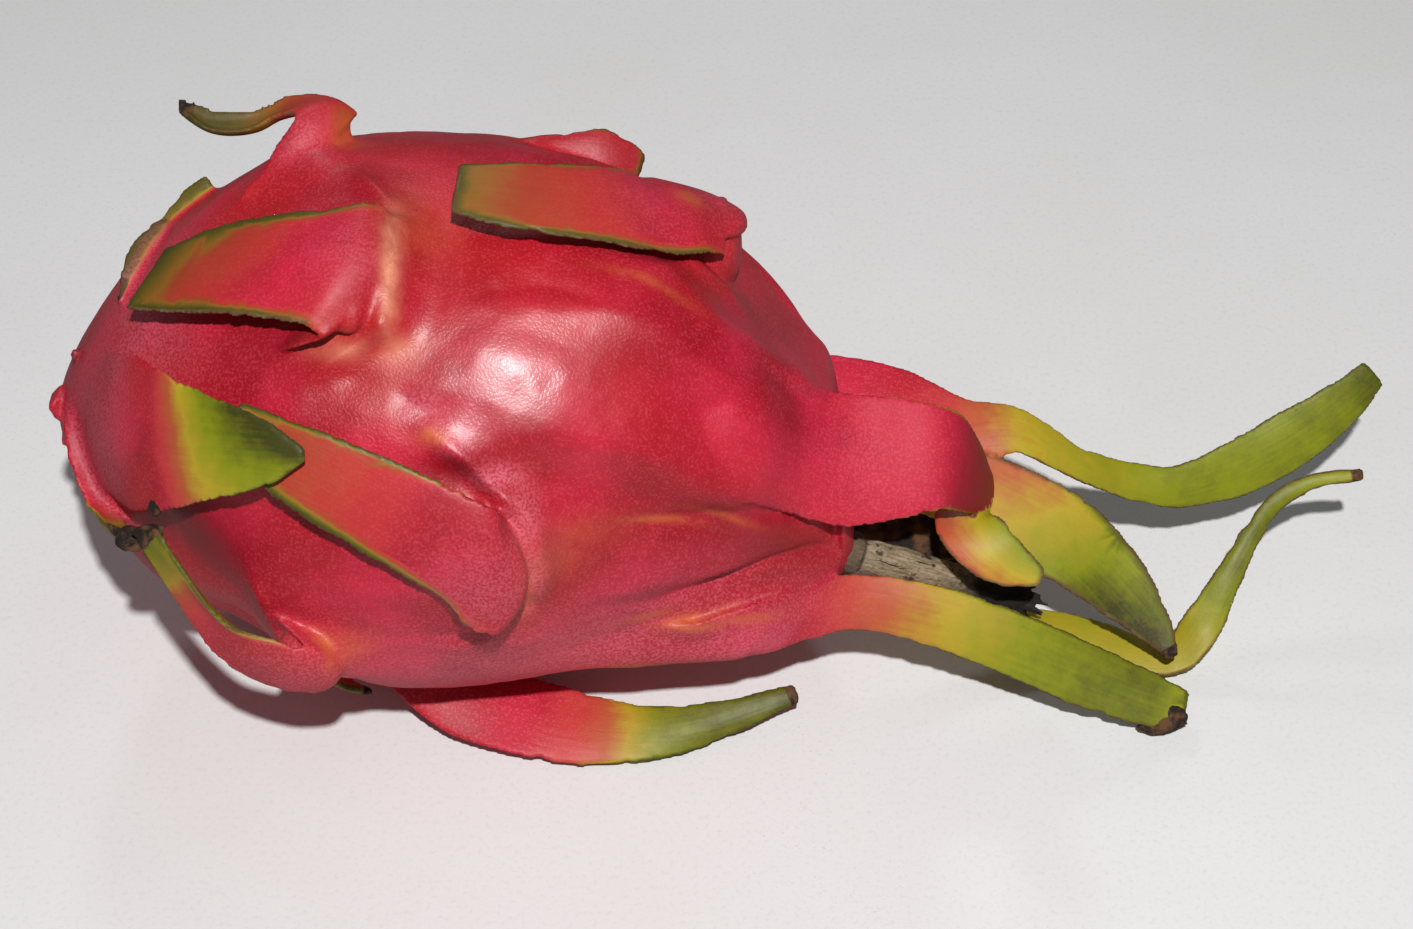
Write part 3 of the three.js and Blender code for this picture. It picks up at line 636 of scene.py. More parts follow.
def blade_mesh(blade):
    """A closed tube of flat rings with rounded margins and ends."""
    steps = len(blade["run"])
    turn = np.linspace(0, math.tau, BLADE_LOOP, endpoint=False)
    across = np.cos(turn)
    up = np.sign(np.sin(turn)) * np.abs(np.sin(turn)) ** SQUARE_POWER
    cut = np.where(across[None, :] > 0, margin_cut(blade, 1)[:, None], margin_cut(blade, -1)[:, None])
    half = blade["half"][:, None] - cut * np.abs(across)[None, :] ** 6
    index = np.arange(steps)[:, None]
    rise = blade_rise(blade, across[None, :], index)
    depth = blade["thick"][:, None] + (MARGIN_THICKNESS - blade["thick"][:, None]) * across[None, :] ** 2
    depth = np.maximum(depth, MARGIN_THICKNESS)
    rings = (
        blade["centre"][:, None, :]
        + blade["side"][:, None, :] * (half * across[None, :])[:, :, None]
        + blade["facing"][:, None, :] * (rise + 0.5 * depth * up[None, :])[:, :, None]
    )
    rings[:, :, 0] += blade_shift(blade, across[None, :], index)
    caps = []
    for end, way in ((0, -1.0), (steps - 1, 1.0)):
        rounded = []
        radius = 0.5 * blade["thick"][end]
        for angle in CAP_ANGLES:
            shrink = math.cos(angle)
            middle = blade["centre"][end] + blade["along"][end] * way * radius * math.sin(angle)
            spread = half[end] * across
            inset = np.sign(spread) * np.maximum(np.abs(spread) - radius * (1 - shrink), 0.0)
            ring = (
                middle
                + blade["side"][end] * inset[:, None]
                + blade["facing"][end] * (rise[end] + 0.5 * depth[end] * up * shrink)[:, None]
            )
            ring[:, 0] += blade_shift(blade, across, end)
            rounded.append(ring)
        caps.append(np.array(rounded))
    rings = np.concatenate([caps[0][::-1], rings, caps[1]])
    vertices = np.vstack([rings.reshape(-1, 3), rings[0].mean(0), rings[-1].mean(0)])
    return vertices, tube_faces(len(rings), BLADE_LOOP)


def body_mesh():
    """The rind from pole to pole."""
    angles = np.pi * (np.arange(1, BODY_ROWS) / BODY_ROWS - 0.5)
    reach = np.where(angles < 0, WIDEST_X - STEM_X, NECK_X - WIDEST_X)
    x = (WIDEST_X + reach * np.sin(angles))[:, None] * np.ones(BODY_COLUMNS)
    around = np.ones(BODY_ROWS - 1)[:, None] * np.linspace(0, 360, BODY_COLUMNS, endpoint=False)
    radius = body_radius(x, around)
    axis_y, axis_z = axis_yz(x)
    turn = np.radians(around)
    flat = np.stack([x, axis_y - np.cos(turn) * radius, axis_z + np.sin(turn) * radius], -1).reshape(-1, 3)
    outward = np.stack([0 * turn, -np.cos(turn), np.sin(turn)], -1).reshape(-1, 3)
    fade = smooth(radius.ravel() / POLE_RADIUS)[:, None]
    uneven = 0.32 * waves(flat, 26.0, 3) + 0.12 * waves(flat, 9.0, 4) + 0.05 * waves(flat, 4.0, 5)
    ends = [[end_x, *axis_yz(np.float64(end_x))] for end_x in (STEM_X, NECK_X)]
    vertices = np.vstack([flat + outward * fade * uneven[:, None], ends])
    vertices[:, 2] = np.maximum(vertices[:, 2], 0.0)
    return vertices, tube_faces(BODY_ROWS - 1, BODY_COLUMNS, flipped=True)


def lump_mesh(centre, radii, rough, seed, axes=np.eye(3)):
    """A small wrinkled lump. The rows of axes are the directions of its radii."""
    rows, columns = 24, 32
    tilt = np.linspace(0, math.pi, rows + 1)[1:-1, None] * np.ones(columns)
    turn = np.linspace(0, math.tau, columns, endpoint=False)[None, :] * np.ones((rows - 1, 1))
    ball = np.stack([np.sin(tilt) * np.cos(turn), np.sin(tilt) * np.sin(turn), np.cos(tilt)], -1)
    ball = np.vstack([ball.reshape(-1, 3), [[0, 0, 1], [0, 0, -1]]])
    swell = 1.0 + rough * waves(ball * 2.0, 3.0, seed) + 0.6 * rough * waves(ball * 2.0, 1.3, seed + 1)
    vertices = np.array(centre) + (ball * np.array(radii) * swell[:, None]) @ np.array(axes)
    return vertices, tube_faces(rows - 1, columns, flipped=True)


def fold_pillow(bract, seed):
    """The flesh inside the fold of a reflexed bract."""
    x, around, _, half = bract["stations"][0]
    lift = bract["stations"][1][2]
    angle = math.radians(around)
    out = [0.0, -math.cos(angle), math.sin(angle)]
    beside = [0.0, math.sin(angle), math.cos(angle)]
    centre = on_body(x - PILLOW_BEHIND, around, lift * 0.4)
    radii = (PILLOW_LENGTH, half * 0.84, lift * 0.6)
    return lump_mesh(centre, radii, 0.03, seed, [[1.0, 0.0, 0.0], beside, out])


def strand_mesh(path, radii):
    """A thin closed tube through points, with a radius at each."""
    sides = 8
    path = np.array(path, float)
    along = unit(np.gradient(path, axis=0))
    first = unit(np.cross(along, [0.3, 0.2, 0.93]))
    second = np.cross(along, first)
    turn = np.linspace(0, math.tau, sides, endpoint=False)
    ring = first[:, None, :] * np.cos(turn)[None, :, None] + second[:, None, :] * np.sin(turn)[None, :, None]
    rings = path[:, None, :] + ring * np.array(radii, float)[:, None, None]
    return np.vstack([rings.reshape(-1, 3), path[0], path[-1]]), tube_faces(len(path), sides)


def stub_axes():
    """The stub's length and its own directions: two across it and one along it."""
    line = STUB_END - STUB_START
    length = np.linalg.norm(line)
    ahead = line / length
    beside = np.cross(ahead, [0.0, 0.0, 1.0])
    beside /= np.linalg.norm(beside)
    return length, np.array([beside, np.cross(beside, ahead), ahead])


def stub_parts():
    """The dried flower's stub: collar, knobbly fibrous shaft, frayed end and a few loose fibres."""
    length, axes = stub_axes()
    run = np.linspace(STUB_ROOT, length, STUB_ROWS)[:, None] * np.ones(STUB_COLUMNS)
    turn = np.ones((STUB_ROWS, 1)) * np.linspace(0, math.tau, STUB_COLUMNS, endpoint=False)
    shape = STUB_SHAPE + [(length - 1, 2.8), (length, 2.0)]
    radius = np.interp(run, [row[0] for row in shape], [row[1] for row in shape]).ravel()
    run = run.ravel()
    turn = turn.ravel()
    skin = np.stack([np.cos(turn) * STUB_TURN, np.sin(turn) * STUB_TURN, run], -1)
    rough = 0.20 * waves(skin, 5.0, 71) + 0.10 * waves(skin * [1, 1, 0.18], 1.3, 72)
    rough = rough + 0.06 * waves(skin, 1.6, 73)
    worn = smooth((run - length + STUB_WORN_LENGTH) / STUB_WORN_LENGTH)
    radius = radius + rough * (1.0 + 1.6 * worn)
    local = np.stack([np.cos(turn) * radius, np.sin(turn) * radius, run], -1)
    local = np.vstack([local, [[0, 0, STUB_ROOT], [0, 0, length - 0.8]]])
    parts = [(STUB_START + local @ axes, tube_faces(STUB_ROWS, STUB_COLUMNS))]
    chance = np.random.default_rng(77)
    strands = []
    for _ in range(STUB_SPIKES):
        angle = chance.uniform(0, math.tau)
        away = chance.uniform(0.8, 2.4)
        lean = chance.uniform(0.1, 0.7)
        reach = chance.uniform(0.8, 2.4)
        root = np.array([math.cos(angle) * away, math.sin(angle) * away, length - 2.0])
        way = np.array([math.cos(angle) * lean, math.sin(angle) * lean, 1.0])
        strands.append(([root, root + way * (1.4 + reach * 0.5), root + way * (1.8 + reach)], SPIKE_RADII))
    strands += [(fibre, [FIBRE_RADIUS] * len(fibre)) for fibre in STUB_FIBRES]
    for path, radii in strands:
        parts.append(strand_mesh([STUB_START + np.array(point) @ axes for point in path], radii))
    return parts


def write_attributes(made, values):
    """Gives each point of a mesh a number under each name."""
    for name, value in values.items():
        attribute = made.data.attributes.new(name, "FLOAT", "POINT")
        attribute.data.foreach_set("value", value.astype(np.float32))


def paint_stub(made):
    """How far along the stub and how far round it each point is, and how dark it gets: charred at the end,
    with painted shadow before it.
    """
    _, axes = stub_axes()
    local = (read_points(made) - STUB_START) @ axes.T
    run = local[:, 2]
    write_attributes(made, {
        "run": run, "turn": np.arctan2(local[:, 1], local[:, 0]) * STUB_TURN,
        # Darker from 12 mm on: the charred end, and painted shadow of the bract that hangs over the stub.
        "charred_and_shaded": smooth((run - 12.0) / 16.0),
        "collar": smooth((run + 0.6) / 0.6) * smooth((3.4 - run) / 0.6),
    })


def new_object(name, parts):
    """A mesh object from closed meshes in mm in the fruit's own frame: points and groups of faces."""
    vertices = []
    faces = []
    first = 0
    for points, groups in parts:
        vertices.append(points)
        for group in groups:
            faces.extend((group + first).tolist())
        first += len(points)
    mesh = bpy.data.meshes.new(name)
    mesh.from_pydata(((np.vstack(vertices) - ORIGIN) * MM).tolist(), [], faces)
    mesh.validate()
    mesh.update()
    made = bpy.data.objects.new(name, mesh)
    bpy.context.scene.collection.objects.link(made)
    return made


def finish_surface(made, material):
    """Shades a mesh smoothly, and gives it its only material."""
    made.data.polygons.foreach_set("use_smooth", [True] * len(made.data.polygons))
    made.data.materials.clear()
    made.data.materials.append(material)


def with_modifier(made, kind, **settings):
    """Applies one modifier to a mesh object."""
    modifier = made.modifiers.new(kind.lower(), kind)
    for key, value in settings.items():
        setattr(modifier, key, value)
    graph = bpy.context.evaluated_depsgraph_get()
    mesh = bpy.data.meshes.new_from_object(made.evaluated_get(graph))
    made.modifiers.clear()
    old = made.data
    made.data = mesh
    bpy.data.meshes.remove(old)
    mesh.name = made.name


def read_points(made):
    """The mesh's points in mm, in the fruit's own frame."""
    points = np.empty(len(made.data.vertices) * 3, np.float32)
    made.data.vertices.foreach_get("co", points)
    return points.reshape(-1, 3).astype(float) / MM + ORIGIN


def write_points(made, points):
    moved = ((points - ORIGIN) * MM).astype(np.float32)
    made.data.vertices.foreach_set("co", moved.ravel())
    made.data.update()


def read_edges(made):
    edges = np.empty(len(made.data.edges) * 2, np.int32)
    made.data.edges.foreach_get("vertices", edges)
    return edges.reshape(-1, 2)


def neighbour_mean(values, edges, count):
    """The mean of each point's neighbours."""
    first, second = edges[:, 0], edges[:, 1]
    amount = len(values)
    mean = np.empty_like(values)
    for column in range(values.shape[1]):
        total = np.bincount(first, values[second, column], amount)
        total += np.bincount(second, values[first, column], amount)
        mean[:, column] = total / count
    return mean


def relax(points, edges, weight, rounds, pulls):
    """Moves points towards the mean of their neighbours, and back by a negative pull."""
    count = np.maximum(np.bincount(edges.ravel(), minlength=len(points)), 1)
    for _ in range(rounds):
        for pull in pulls:
            points = points + pull * weight[:, None] * (neighbour_mean(points, edges, count) - points)
    return points


def tree_of(points):
    tree = KDTree(len(points))
    for index, point in enumerate(points.tolist()):
        tree.insert(point, index)
    tree.balance()
    return tree


def nearest(tree, points):
    """Index of and distance to the nearest point of a tree."""
    index = np.empty(len(points), np.int64)
    away = np.empty(len(points))
    for row, point in enumerate(points.tolist()):
        _, index[row], away[row] = tree.find(point)
    return index, away


# The stub's radius at places along it, up to its worn end.
STUB_SHAPE = [
    (STUB_ROOT, 2.6), (-0.3, 2.9), (0.2, 3.4), (2.4, 3.4), (3.0, 2.55), (3.8, 2.7), (9, 2.8),
    (15, 2.65), (22, 2.5), (27, 2.9),
]

# Loose fibres on the stub: points across, above and along it.
STUB_FIBRES = [
    [(0.6, 2.4, 10), (1.2, 3.4, 11.5), (1.0, 3.2, 14), (0.4, 2.2, 16)],
    [(-0.8, 2.3, 16), (-1.6, 3.2, 18), (-1.2, 3.6, 21), (-0.8, 2.6, 23)],
    [(1.6, 1.8, 4), (2.4, 2.6, 6), (2.6, 2.4, 9), (1.8, 1.8, 11)],
    [(-1.2, -2.2, 24), (-2.4, -2.6, 27), (-3.0, -2.0, 30)],
]

# Spots of colour on the rind: x, angle, half length, half width and strength. The dark red spots are
# painted shade in hollows, under bracts and on faces turned from the light; the pale pink ones are a
# whitish bloom with painted sheen on ridges and faces that catch the light.
SPOTS = {
    "pale": [
        (-46.2, 74, 1.2, 9, 1.0), (-45.0, 60, 3, 2, 0.5), (-53, 60, 4, 1.5, 0.5), (-64.5, 192, 1.5, 7, 0.8),
    ],
    "amber": [
        (-28.6, 12, 2.0, 6, 0.8), (-40, 44, 2.2, 1.2, 0.9), (-58.5, -3, 2.4, 1.6, 1.0), (-54, -4, 4, 3, 0.35),
        (-10, 79, 6, 0.7, 0.5), (-11, -11, 4, 0.8, 0.7), (-4, -14.5, 5, 0.7, 0.8), (5, -13, 5, 0.7, 0.6),
        (-9, 23.5, 6, 0.7, 0.6), (1, 28.5, 5, 0.7, 0.5), (-44, 86, 6, 7, 0.3), (-6, 108, 2.5, 2.5, 0.5),
        (-24, 18, 6, 4, 0.3), (-20, 22, 8, 3, 0.25), (-32.5, 186, 2.0, 8, 0.8), (-0.5, 196, 2.0, 8, 0.8),
    ],
    # Painted shade: darker red where shade falls.
    "painted_shade": [
        (-94, 35, 6, 12, 0.7), (-76, 16, 8, 8, 1.0), (-84, 14, 6, 8, 1.0), (10, 108, 9, 15, 0.2),
        (9, 24, 13, 6, 0.6), (-62, 64, 8, 5, 0.4), (-38, 37, 5, 2.6, 0.7), (-12, 0, 9, 1.6, 0.5),
        (7, 102, 9, 7, 0.25), (12, 262, 12, 6, 0.5),
    ],
    # A whitish bloom with painted sheen: lighter pink on ridges, on faces turned to the light and low on the
    # front.
    "bloom_and_sheen": [
        (-42, 50, 3, 2.2, 0.7), (-37, 44, 4, 2.0, 0.8), (-31.5, 36, 4, 2.0, 0.9), (-27.5, 27, 2.4, 5, 0.9),
        (-26.5, 16, 2.2, 6, 0.8), (-28.5, 6, 2.4, 4, 0.6), (-30, -16, 34, 12, 0.55), (-84, 70, 9, 22, 0.5),
        (-92, 30, 10, 16, 0.4), (8, 112, 10, 12, 0.12), (-56, -14, 9, 8, 0.4), (4, -24, 14, 6, 0.5),
    ],
}

# Spots of colour placed in space: x, y, z, radius and strength. The pale pink ones are a whitish bloom
# with painted sheen where the surface catches the light.
SPACE_SPOTS = {
    "amber": [
        (-55.0, 21.0, 83.0, 2.6, 0.8), (-57.3, 19.2, 81.6, 2.4, 0.8), (-60.2, 17.2, 80.0, 2.4, 0.7),
        (38.0, -4.5, 33.5, 5.0, 0.5), (-4.4, 9.6, 79.2, 2.3, 0.5),
    ],
    "green": [(-55.0, 22.0, 85.0, 3.0, 0.5), (-4.0, 10.2, 79.3, 1.4, 0.5)],
    "bloom_and_sheen": [
        (-61.0, 17.0, 85.0, 4.0, 0.4), (-33.0, -42.0, 56.0, 8.0, 0.6), (-62.0, -46.0, 37.0, 9.0, 0.4),
        (22.0, -13.0, 47.0, 8.0, 0.25), (0.0, 14.0, 74.0, 7.0, 0.4), (-12.0, 5.0, 81.0, 8.0, 0.2),
        (-52.0, -11.0, 88.0, 5.0, 0.35), (-19.0, 22.0, 76.0, 3.0, 0.6), (24.0, -27.0, 28.0, 7.0, 0.25),
    ],
}

# How far a bract is dried at its tip and how wide its dried rim is, in mm. The neck inner bract is dark
# dried brown all over, as painted shade in the gap under the neck top. Places off the bracts count
# as FAR_EDGE from a margin, and places at a root as ROOT_EDGE further. RUN_APART keeps the veins of two
# bracts from looking alike. BRACT_LIFT and BLADE_REACH say what counts as bract.
DRY_TIPS = {
    "neck leaf": 1.6, "neck inner": 200.0, "horn": 1.6, "stem end side": 3.0, "ground front": 1.2,
    "neck low thin": 1.5, "stem end back": 4.0, "under left": 1.0, "lower left": 1.0, "back left": 1.5,
}
RIMS = {
    "neck leaf": 1.5, "neck low thin": 1.1, "neck back long": 0.6, "neck top end": 1.4,
    "neck front long": 0.7,
}
RIM_WIDTH = 0.28
FAR_EDGE = 20.0
ROOT_EDGE = 12.0
RUN_APART = 37.0
GREEN_RIM = 0.92
BRACT_LIFT = 0.5
BRACT_RISE = 1.1
BLADE_REACH = 3.0
LUMP_REACH = 0.7
SPOT_LIFT = 4.0
BLADE_VALUES = ("green", "dull", "dry", "across", "run", "shade")

# The waxy bloom that shines: its middle, its reach and the least of it elsewhere.
WAX_X = -27.0
WAX_AROUND = 54.0
WAX_REACH = 14.0
WAX_LEAST = 0.08


def blade_values(blade, number, offset, k):
    """What the colours need at places near the rings k of one bract."""
    half = blade["half"][k]
    part = blade["part"][k]
    beside = (offset * blade["side"][k]).sum(1)
    ahead = (offset * blade["along"][k]).sum(1)
    above = (offset * blade["facing"][k]).sum(1)
    share = np.clip(beside / half, -1.2, 1.2)
    ahead = ahead - blade_shift(blade, share, k) * blade["along"][k][:, 0]
    place = blade["run"][k] + ahead
    left = np.maximum(blade["run"][-1] - blade["run"][k] - ahead, 0.0)
    margin = np.maximum(half - np.abs(beside), 0.0)
    margin = np.minimum(margin, left + 0.15)
    margin = np.minimum(margin, np.abs(place - blade["crease_run"]) + 0.6)
    band = np.where(beside < 0, blade["band"][0], blade["band"][1]) * (0.3 + 0.7 * part)
    rim_green = smooth(1.25 - margin / band) * smooth((part - 0.32) / 0.35) * GREEN_RIM
    ripe = blade["green"][k] + blade["slant"] * share * smooth(blade["green"][k] / 0.2)
    below = np.maximum(blade_rise(blade, share, k) - above, 0.0)
    tip = DRY_TIPS.get(blade["name"], 0.0)
    return {
        "green": np.maximum(ripe, rim_green * smooth((ripe + 0.45) / 0.5)),
        "dull": blade["dull"], "shade": blade["shade"][k], "across": beside,
        "edge": margin + 1.5 * below + ROOT_EDGE * (1.0 - smooth((part - 0.22) / 0.15)),
        "run": place + RUN_APART * number, "rim": RIMS.get(blade["name"], RIM_WIDTH),
        "dry": smooth(1.3 - left / tip) if tip else 0.0,
    }


def paint_rind(made):
    """Gives each point what the rind's material needs, as named attributes."""
    points = read_points(made)
    x, around, lift = place_on_body(points)
    index, away = nearest(blade_tree, points)
    owner = blade_owner[index]
    ring = blade_ring[index]
    amount = len(points)
    values = {key: np.zeros(amount) for key in BLADE_VALUES}
    values["edge"] = np.full(amount, FAR_EDGE)
    values["rim"] = np.full(amount, RIM_WIDTH)
    for number, blade in enumerate(blades):
        rows = np.nonzero(owner == number)[0]
        k = ring[rows]
        for key, value in blade_values(blade, number, points[rows] - blade["centre"][k], k).items():
            values[key][rows] = value
    bract = smooth((lift - BRACT_LIFT) / BRACT_RISE) * smooth(BLADE_REACH - away)
    lump_owner, lump_away = nearest(tree_of(np.vstack([part[0] for part in lump_parts])), points)
    # The knot's dark colour is part dried tissue and part painted shade.
    lump_dry_and_shade = np.array([row[3] for row in LUMPS])[lump_owner // len(lump_parts[0][0])]
    values["dry"] = np.maximum(values["dry"] * bract, lump_dry_and_shade * smooth((1.0 - lump_away) / LUMP_REACH))
    values["green"] = values["green"] * bract
    values["dull"] = values["dull"] * bract
    values["edge"] = values["edge"] + FAR_EDGE * (1.0 - bract)
    values["bract"] = bract

    close = smooth((SPOT_LIFT - lift) / 2.0)
    for kind, spots in SPOTS.items():
        values[kind] = np.zeros(amount)
        for spot_x, spot_around, long, wide, strength in spots:
            turn = arc_from(np.clip(x, STEM_X, NECK_X), around, spot_around)
            reach = ((x - spot_x) / long) ** 2 + (turn / wide) ** 2
            values[kind] = np.maximum(values[kind], strength * np.exp(-reach) * close)
    for kind, spots in SPACE_SPOTS.items():
        for *centre, radius, strength in spots:
            reach = ((points - np.array(centre)) ** 2).sum(1) / radius ** 2
            values[kind] = np.maximum(values[kind], strength * np.exp(-reach))
    # The bracts' station shade joins the painted shade of the spots.
    values["painted_shade"] = np.maximum(values["painted_shade"], values.pop("shade") * bract)

    values["speckle"] = 0.5 + 0.5 * smooth((58.0 - points[:, 2]) / 36.0)
    wax = np.exp(-((x - WAX_X) / WAX_REACH) ** 2 - ((around - WAX_AROUND) / WAX_REACH) ** 2)
    values["wax"] = WAX_LEAST + (1.0 - WAX_LEAST) * wax
    values["blush"] = smooth(0.4 + 0.5 * waves(points, 20.0, 21) + 0.7 * smooth((x - 8.0) / 12.0))
    values["warmth"] = smooth(0.3 + 0.6 * waves(points, 34.0, 22))
    values["mottle"] = 0.6 * waves(points, 7.0, 23) + 0.4 * waves(points, 3.0, 24)
    write_attributes(made, values)


class Tree:
    """A node tree with short ways to add and join nodes."""

    def __init__(self, tree):
        self.tree = tree

    def node(self, kind, inputs=None, **settings):
        """Adds a node, and feeds its inputs by name or number."""
        made = self.tree.nodes.new(kind)
        for key, value in settings.items():
            setattr(made, key, value)
        for key, value in (inputs or {}).items():
            self.feed(made.inputs[key], value)
        return made

    def feed(self, socket, value):
        """Joins a socket to an output, or sets it to a number or colour."""
        if isinstance(value, bpy.types.NodeSocket):
            self.tree.links.new(value, socket)
        elif isinstance(value, tuple) and len(value) == 3 and socket.type == "RGBA":
            socket.default_value = (*value, 1.0)
        else:
            socket.default_value = value

    def attribute(self, name):
        return self.node("ShaderNodeAttribute", attribute_name=name).outputs["Fac"]

    def maths(self, operation, first, second, clamp=False):
        inputs = {0: first, 1: second}
        return self.node("ShaderNodeMath", inputs, operation=operation, use_clamp=clamp).outputs[0]

    def plus(self, first, second, clamp=False):
        return self.maths("ADD", first, second, clamp)

    def times(self, first, second):
        return self.maths("MULTIPLY", first, second)

    def noise(self, vector, scale, detail, rough):
        inputs = {"Vector": vector, "Scale": scale, "Detail": detail, "Roughness": rough}
        return self.node("ShaderNodeTexNoise", inputs).outputs["Fac"]

    def span(self, value, low, high, new_low=0.0, new_high=1.0):
        """Maps a range to another, with a smooth step."""
        inputs = {"Value": value, "From Min": low, "From Max": high, "To Min": new_low, "To Max": new_high}
        made = self.node("ShaderNodeMapRange", inputs, interpolation_type="SMOOTHSTEP", clamp=True)
        return made.outputs["Result"]

    def mix(self, share, first, second, blend="MIX"):
        inputs = {"Factor": share, 6: first, 7: second}
        return self.node("ShaderNodeMix", inputs, data_type="RGBA", blend_type=blend).outputs[2]

    def ramp(self, value, stops):
        made = self.node("ShaderNodeValToRGB", {"Fac": value})
        elements = made.color_ramp.elements
        while len(elements) < len(stops):
            elements.new(0.5)
        for element, (place, colour) in zip(elements, stops):
            element.position = place
            element.color = (*colour, 1.0)
        return made.outputs["Color"]

    def flat_vector(self, first, second):
        return self.node("ShaderNodeCombineXYZ", {0: first, 1: second}).outputs[0]

    def bump(self, principled, height, distance, strength=1.0):
        """Raises the surface of a material by a height."""
        inputs = {"Strength": strength, "Distance": distance, "Height": height}
        self.feed(principled["Normal"], self.node("ShaderNodeBump", inputs).outputs["Normal"])


def effect_group(name, inputs, outputs):
    """An empty node group with named inputs and outputs."""
    tree = bpy.data.node_groups.new(name, "ShaderNodeTree")
    for key, kind in inputs:
        tree.interface.new_socket(name=key, in_out="INPUT", socket_type=kind)
    for key, kind in outputs:
        tree.interface.new_socket(name=key, in_out="OUTPUT", socket_type=kind)
    made = Tree(tree)
    return made, made.node("NodeGroupInput").outputs, made.node("NodeGroupOutput").inputs


def fine_grain_group():
    """Fine grain of a natural skin: a mask of scattered specks, and the height of its bumps."""
    tree, given, put = effect_group(
        "fine_grain",
        [("Vector", "NodeSocketVector"), ("Scale", "NodeSocketFloat")],
        [("Grain", "NodeSocketFloat"), ("Height", "NodeSocketFloat")],
    )
    grain = tree.noise(given["Vector"], given["Scale"], 1.0, 0.5)
    tree.feed(put["Grain"], tree.span(grain, 0.5, 0.66))
    tree.feed(put["Height"], grain)
    return tree.tree


def grain_of(tree, place, scale):
    """The mask and the height of the fine grain at one scale."""
    made = tree.node("ShaderNodeGroup", {"Vector": place, "Scale": scale}, node_tree=fine_grain)
    return made.outputs["Grain"], made.outputs["Height"]


def new_material(name):
    made = bpy.data.materials.new(name)
    made.use_nodes = True
    tree = Tree(made.node_tree)
    return made, tree, made.node_tree.nodes["Principled BSDF"].inputs


PATCH_SCALE = 330.0
RIND_GRAIN_SCALE = 2500.0
RIND_BUMP = 0.00007
VEIN_STRETCH = 0.06
FIBRE_STRETCH = 0.14
WOOD_GRAIN_SCALE = 1500.0
WOOD_BUMP = 0.0002
CRIMSON = (0.38, 0.003, 0.016)
ROSE = (0.60, 0.010, 0.045)
WARM_RED = (0.46, 0.010, 0.010)
PAINTED_SHADE_RED = (0.17, 0.002, 0.006)
PALE_FLESH = (0.84, 0.34, 0.20)
AMBER = (0.62, 0.15, 0.03)
SPECKLE = (0.76, 0.10, 0.145)
# Pale pink of the whitish bloom and its painted sheen.
BLOOM_AND_SHEEN = (0.72, 0.14, 0.20)
STRAW = (0.19, 0.12, 0.05)
BROWN = (0.13, 0.060, 0.022)
BLACK_BROWN = (0.016, 0.010, 0.007)
BRIGHT_STOPS = [
    (0.0, (0.52, 0.010, 0.034)), (0.2, (0.58, 0.040, 0.038)), (0.42, (0.50, 0.115, 0.028)),
    (0.6, (0.50, 0.38, 0.016)), (0.78, (0.26, 0.30, 0.001)), (0.9, (0.13, 0.155, 0.001)),
    (1.0, (0.045, 0.05, 0.002)),
]
DULL_STOPS = [
    (0.0, (0.52, 0.010, 0.034)), (0.2, (0.50, 0.028, 0.022)), (0.42, (0.36, 0.045, 0.014)),
    (0.6, (0.26, 0.085, 0.010)), (0.8, (0.11, 0.07, 0.005)), (1.0, (0.05, 0.05, 0.003)),
]


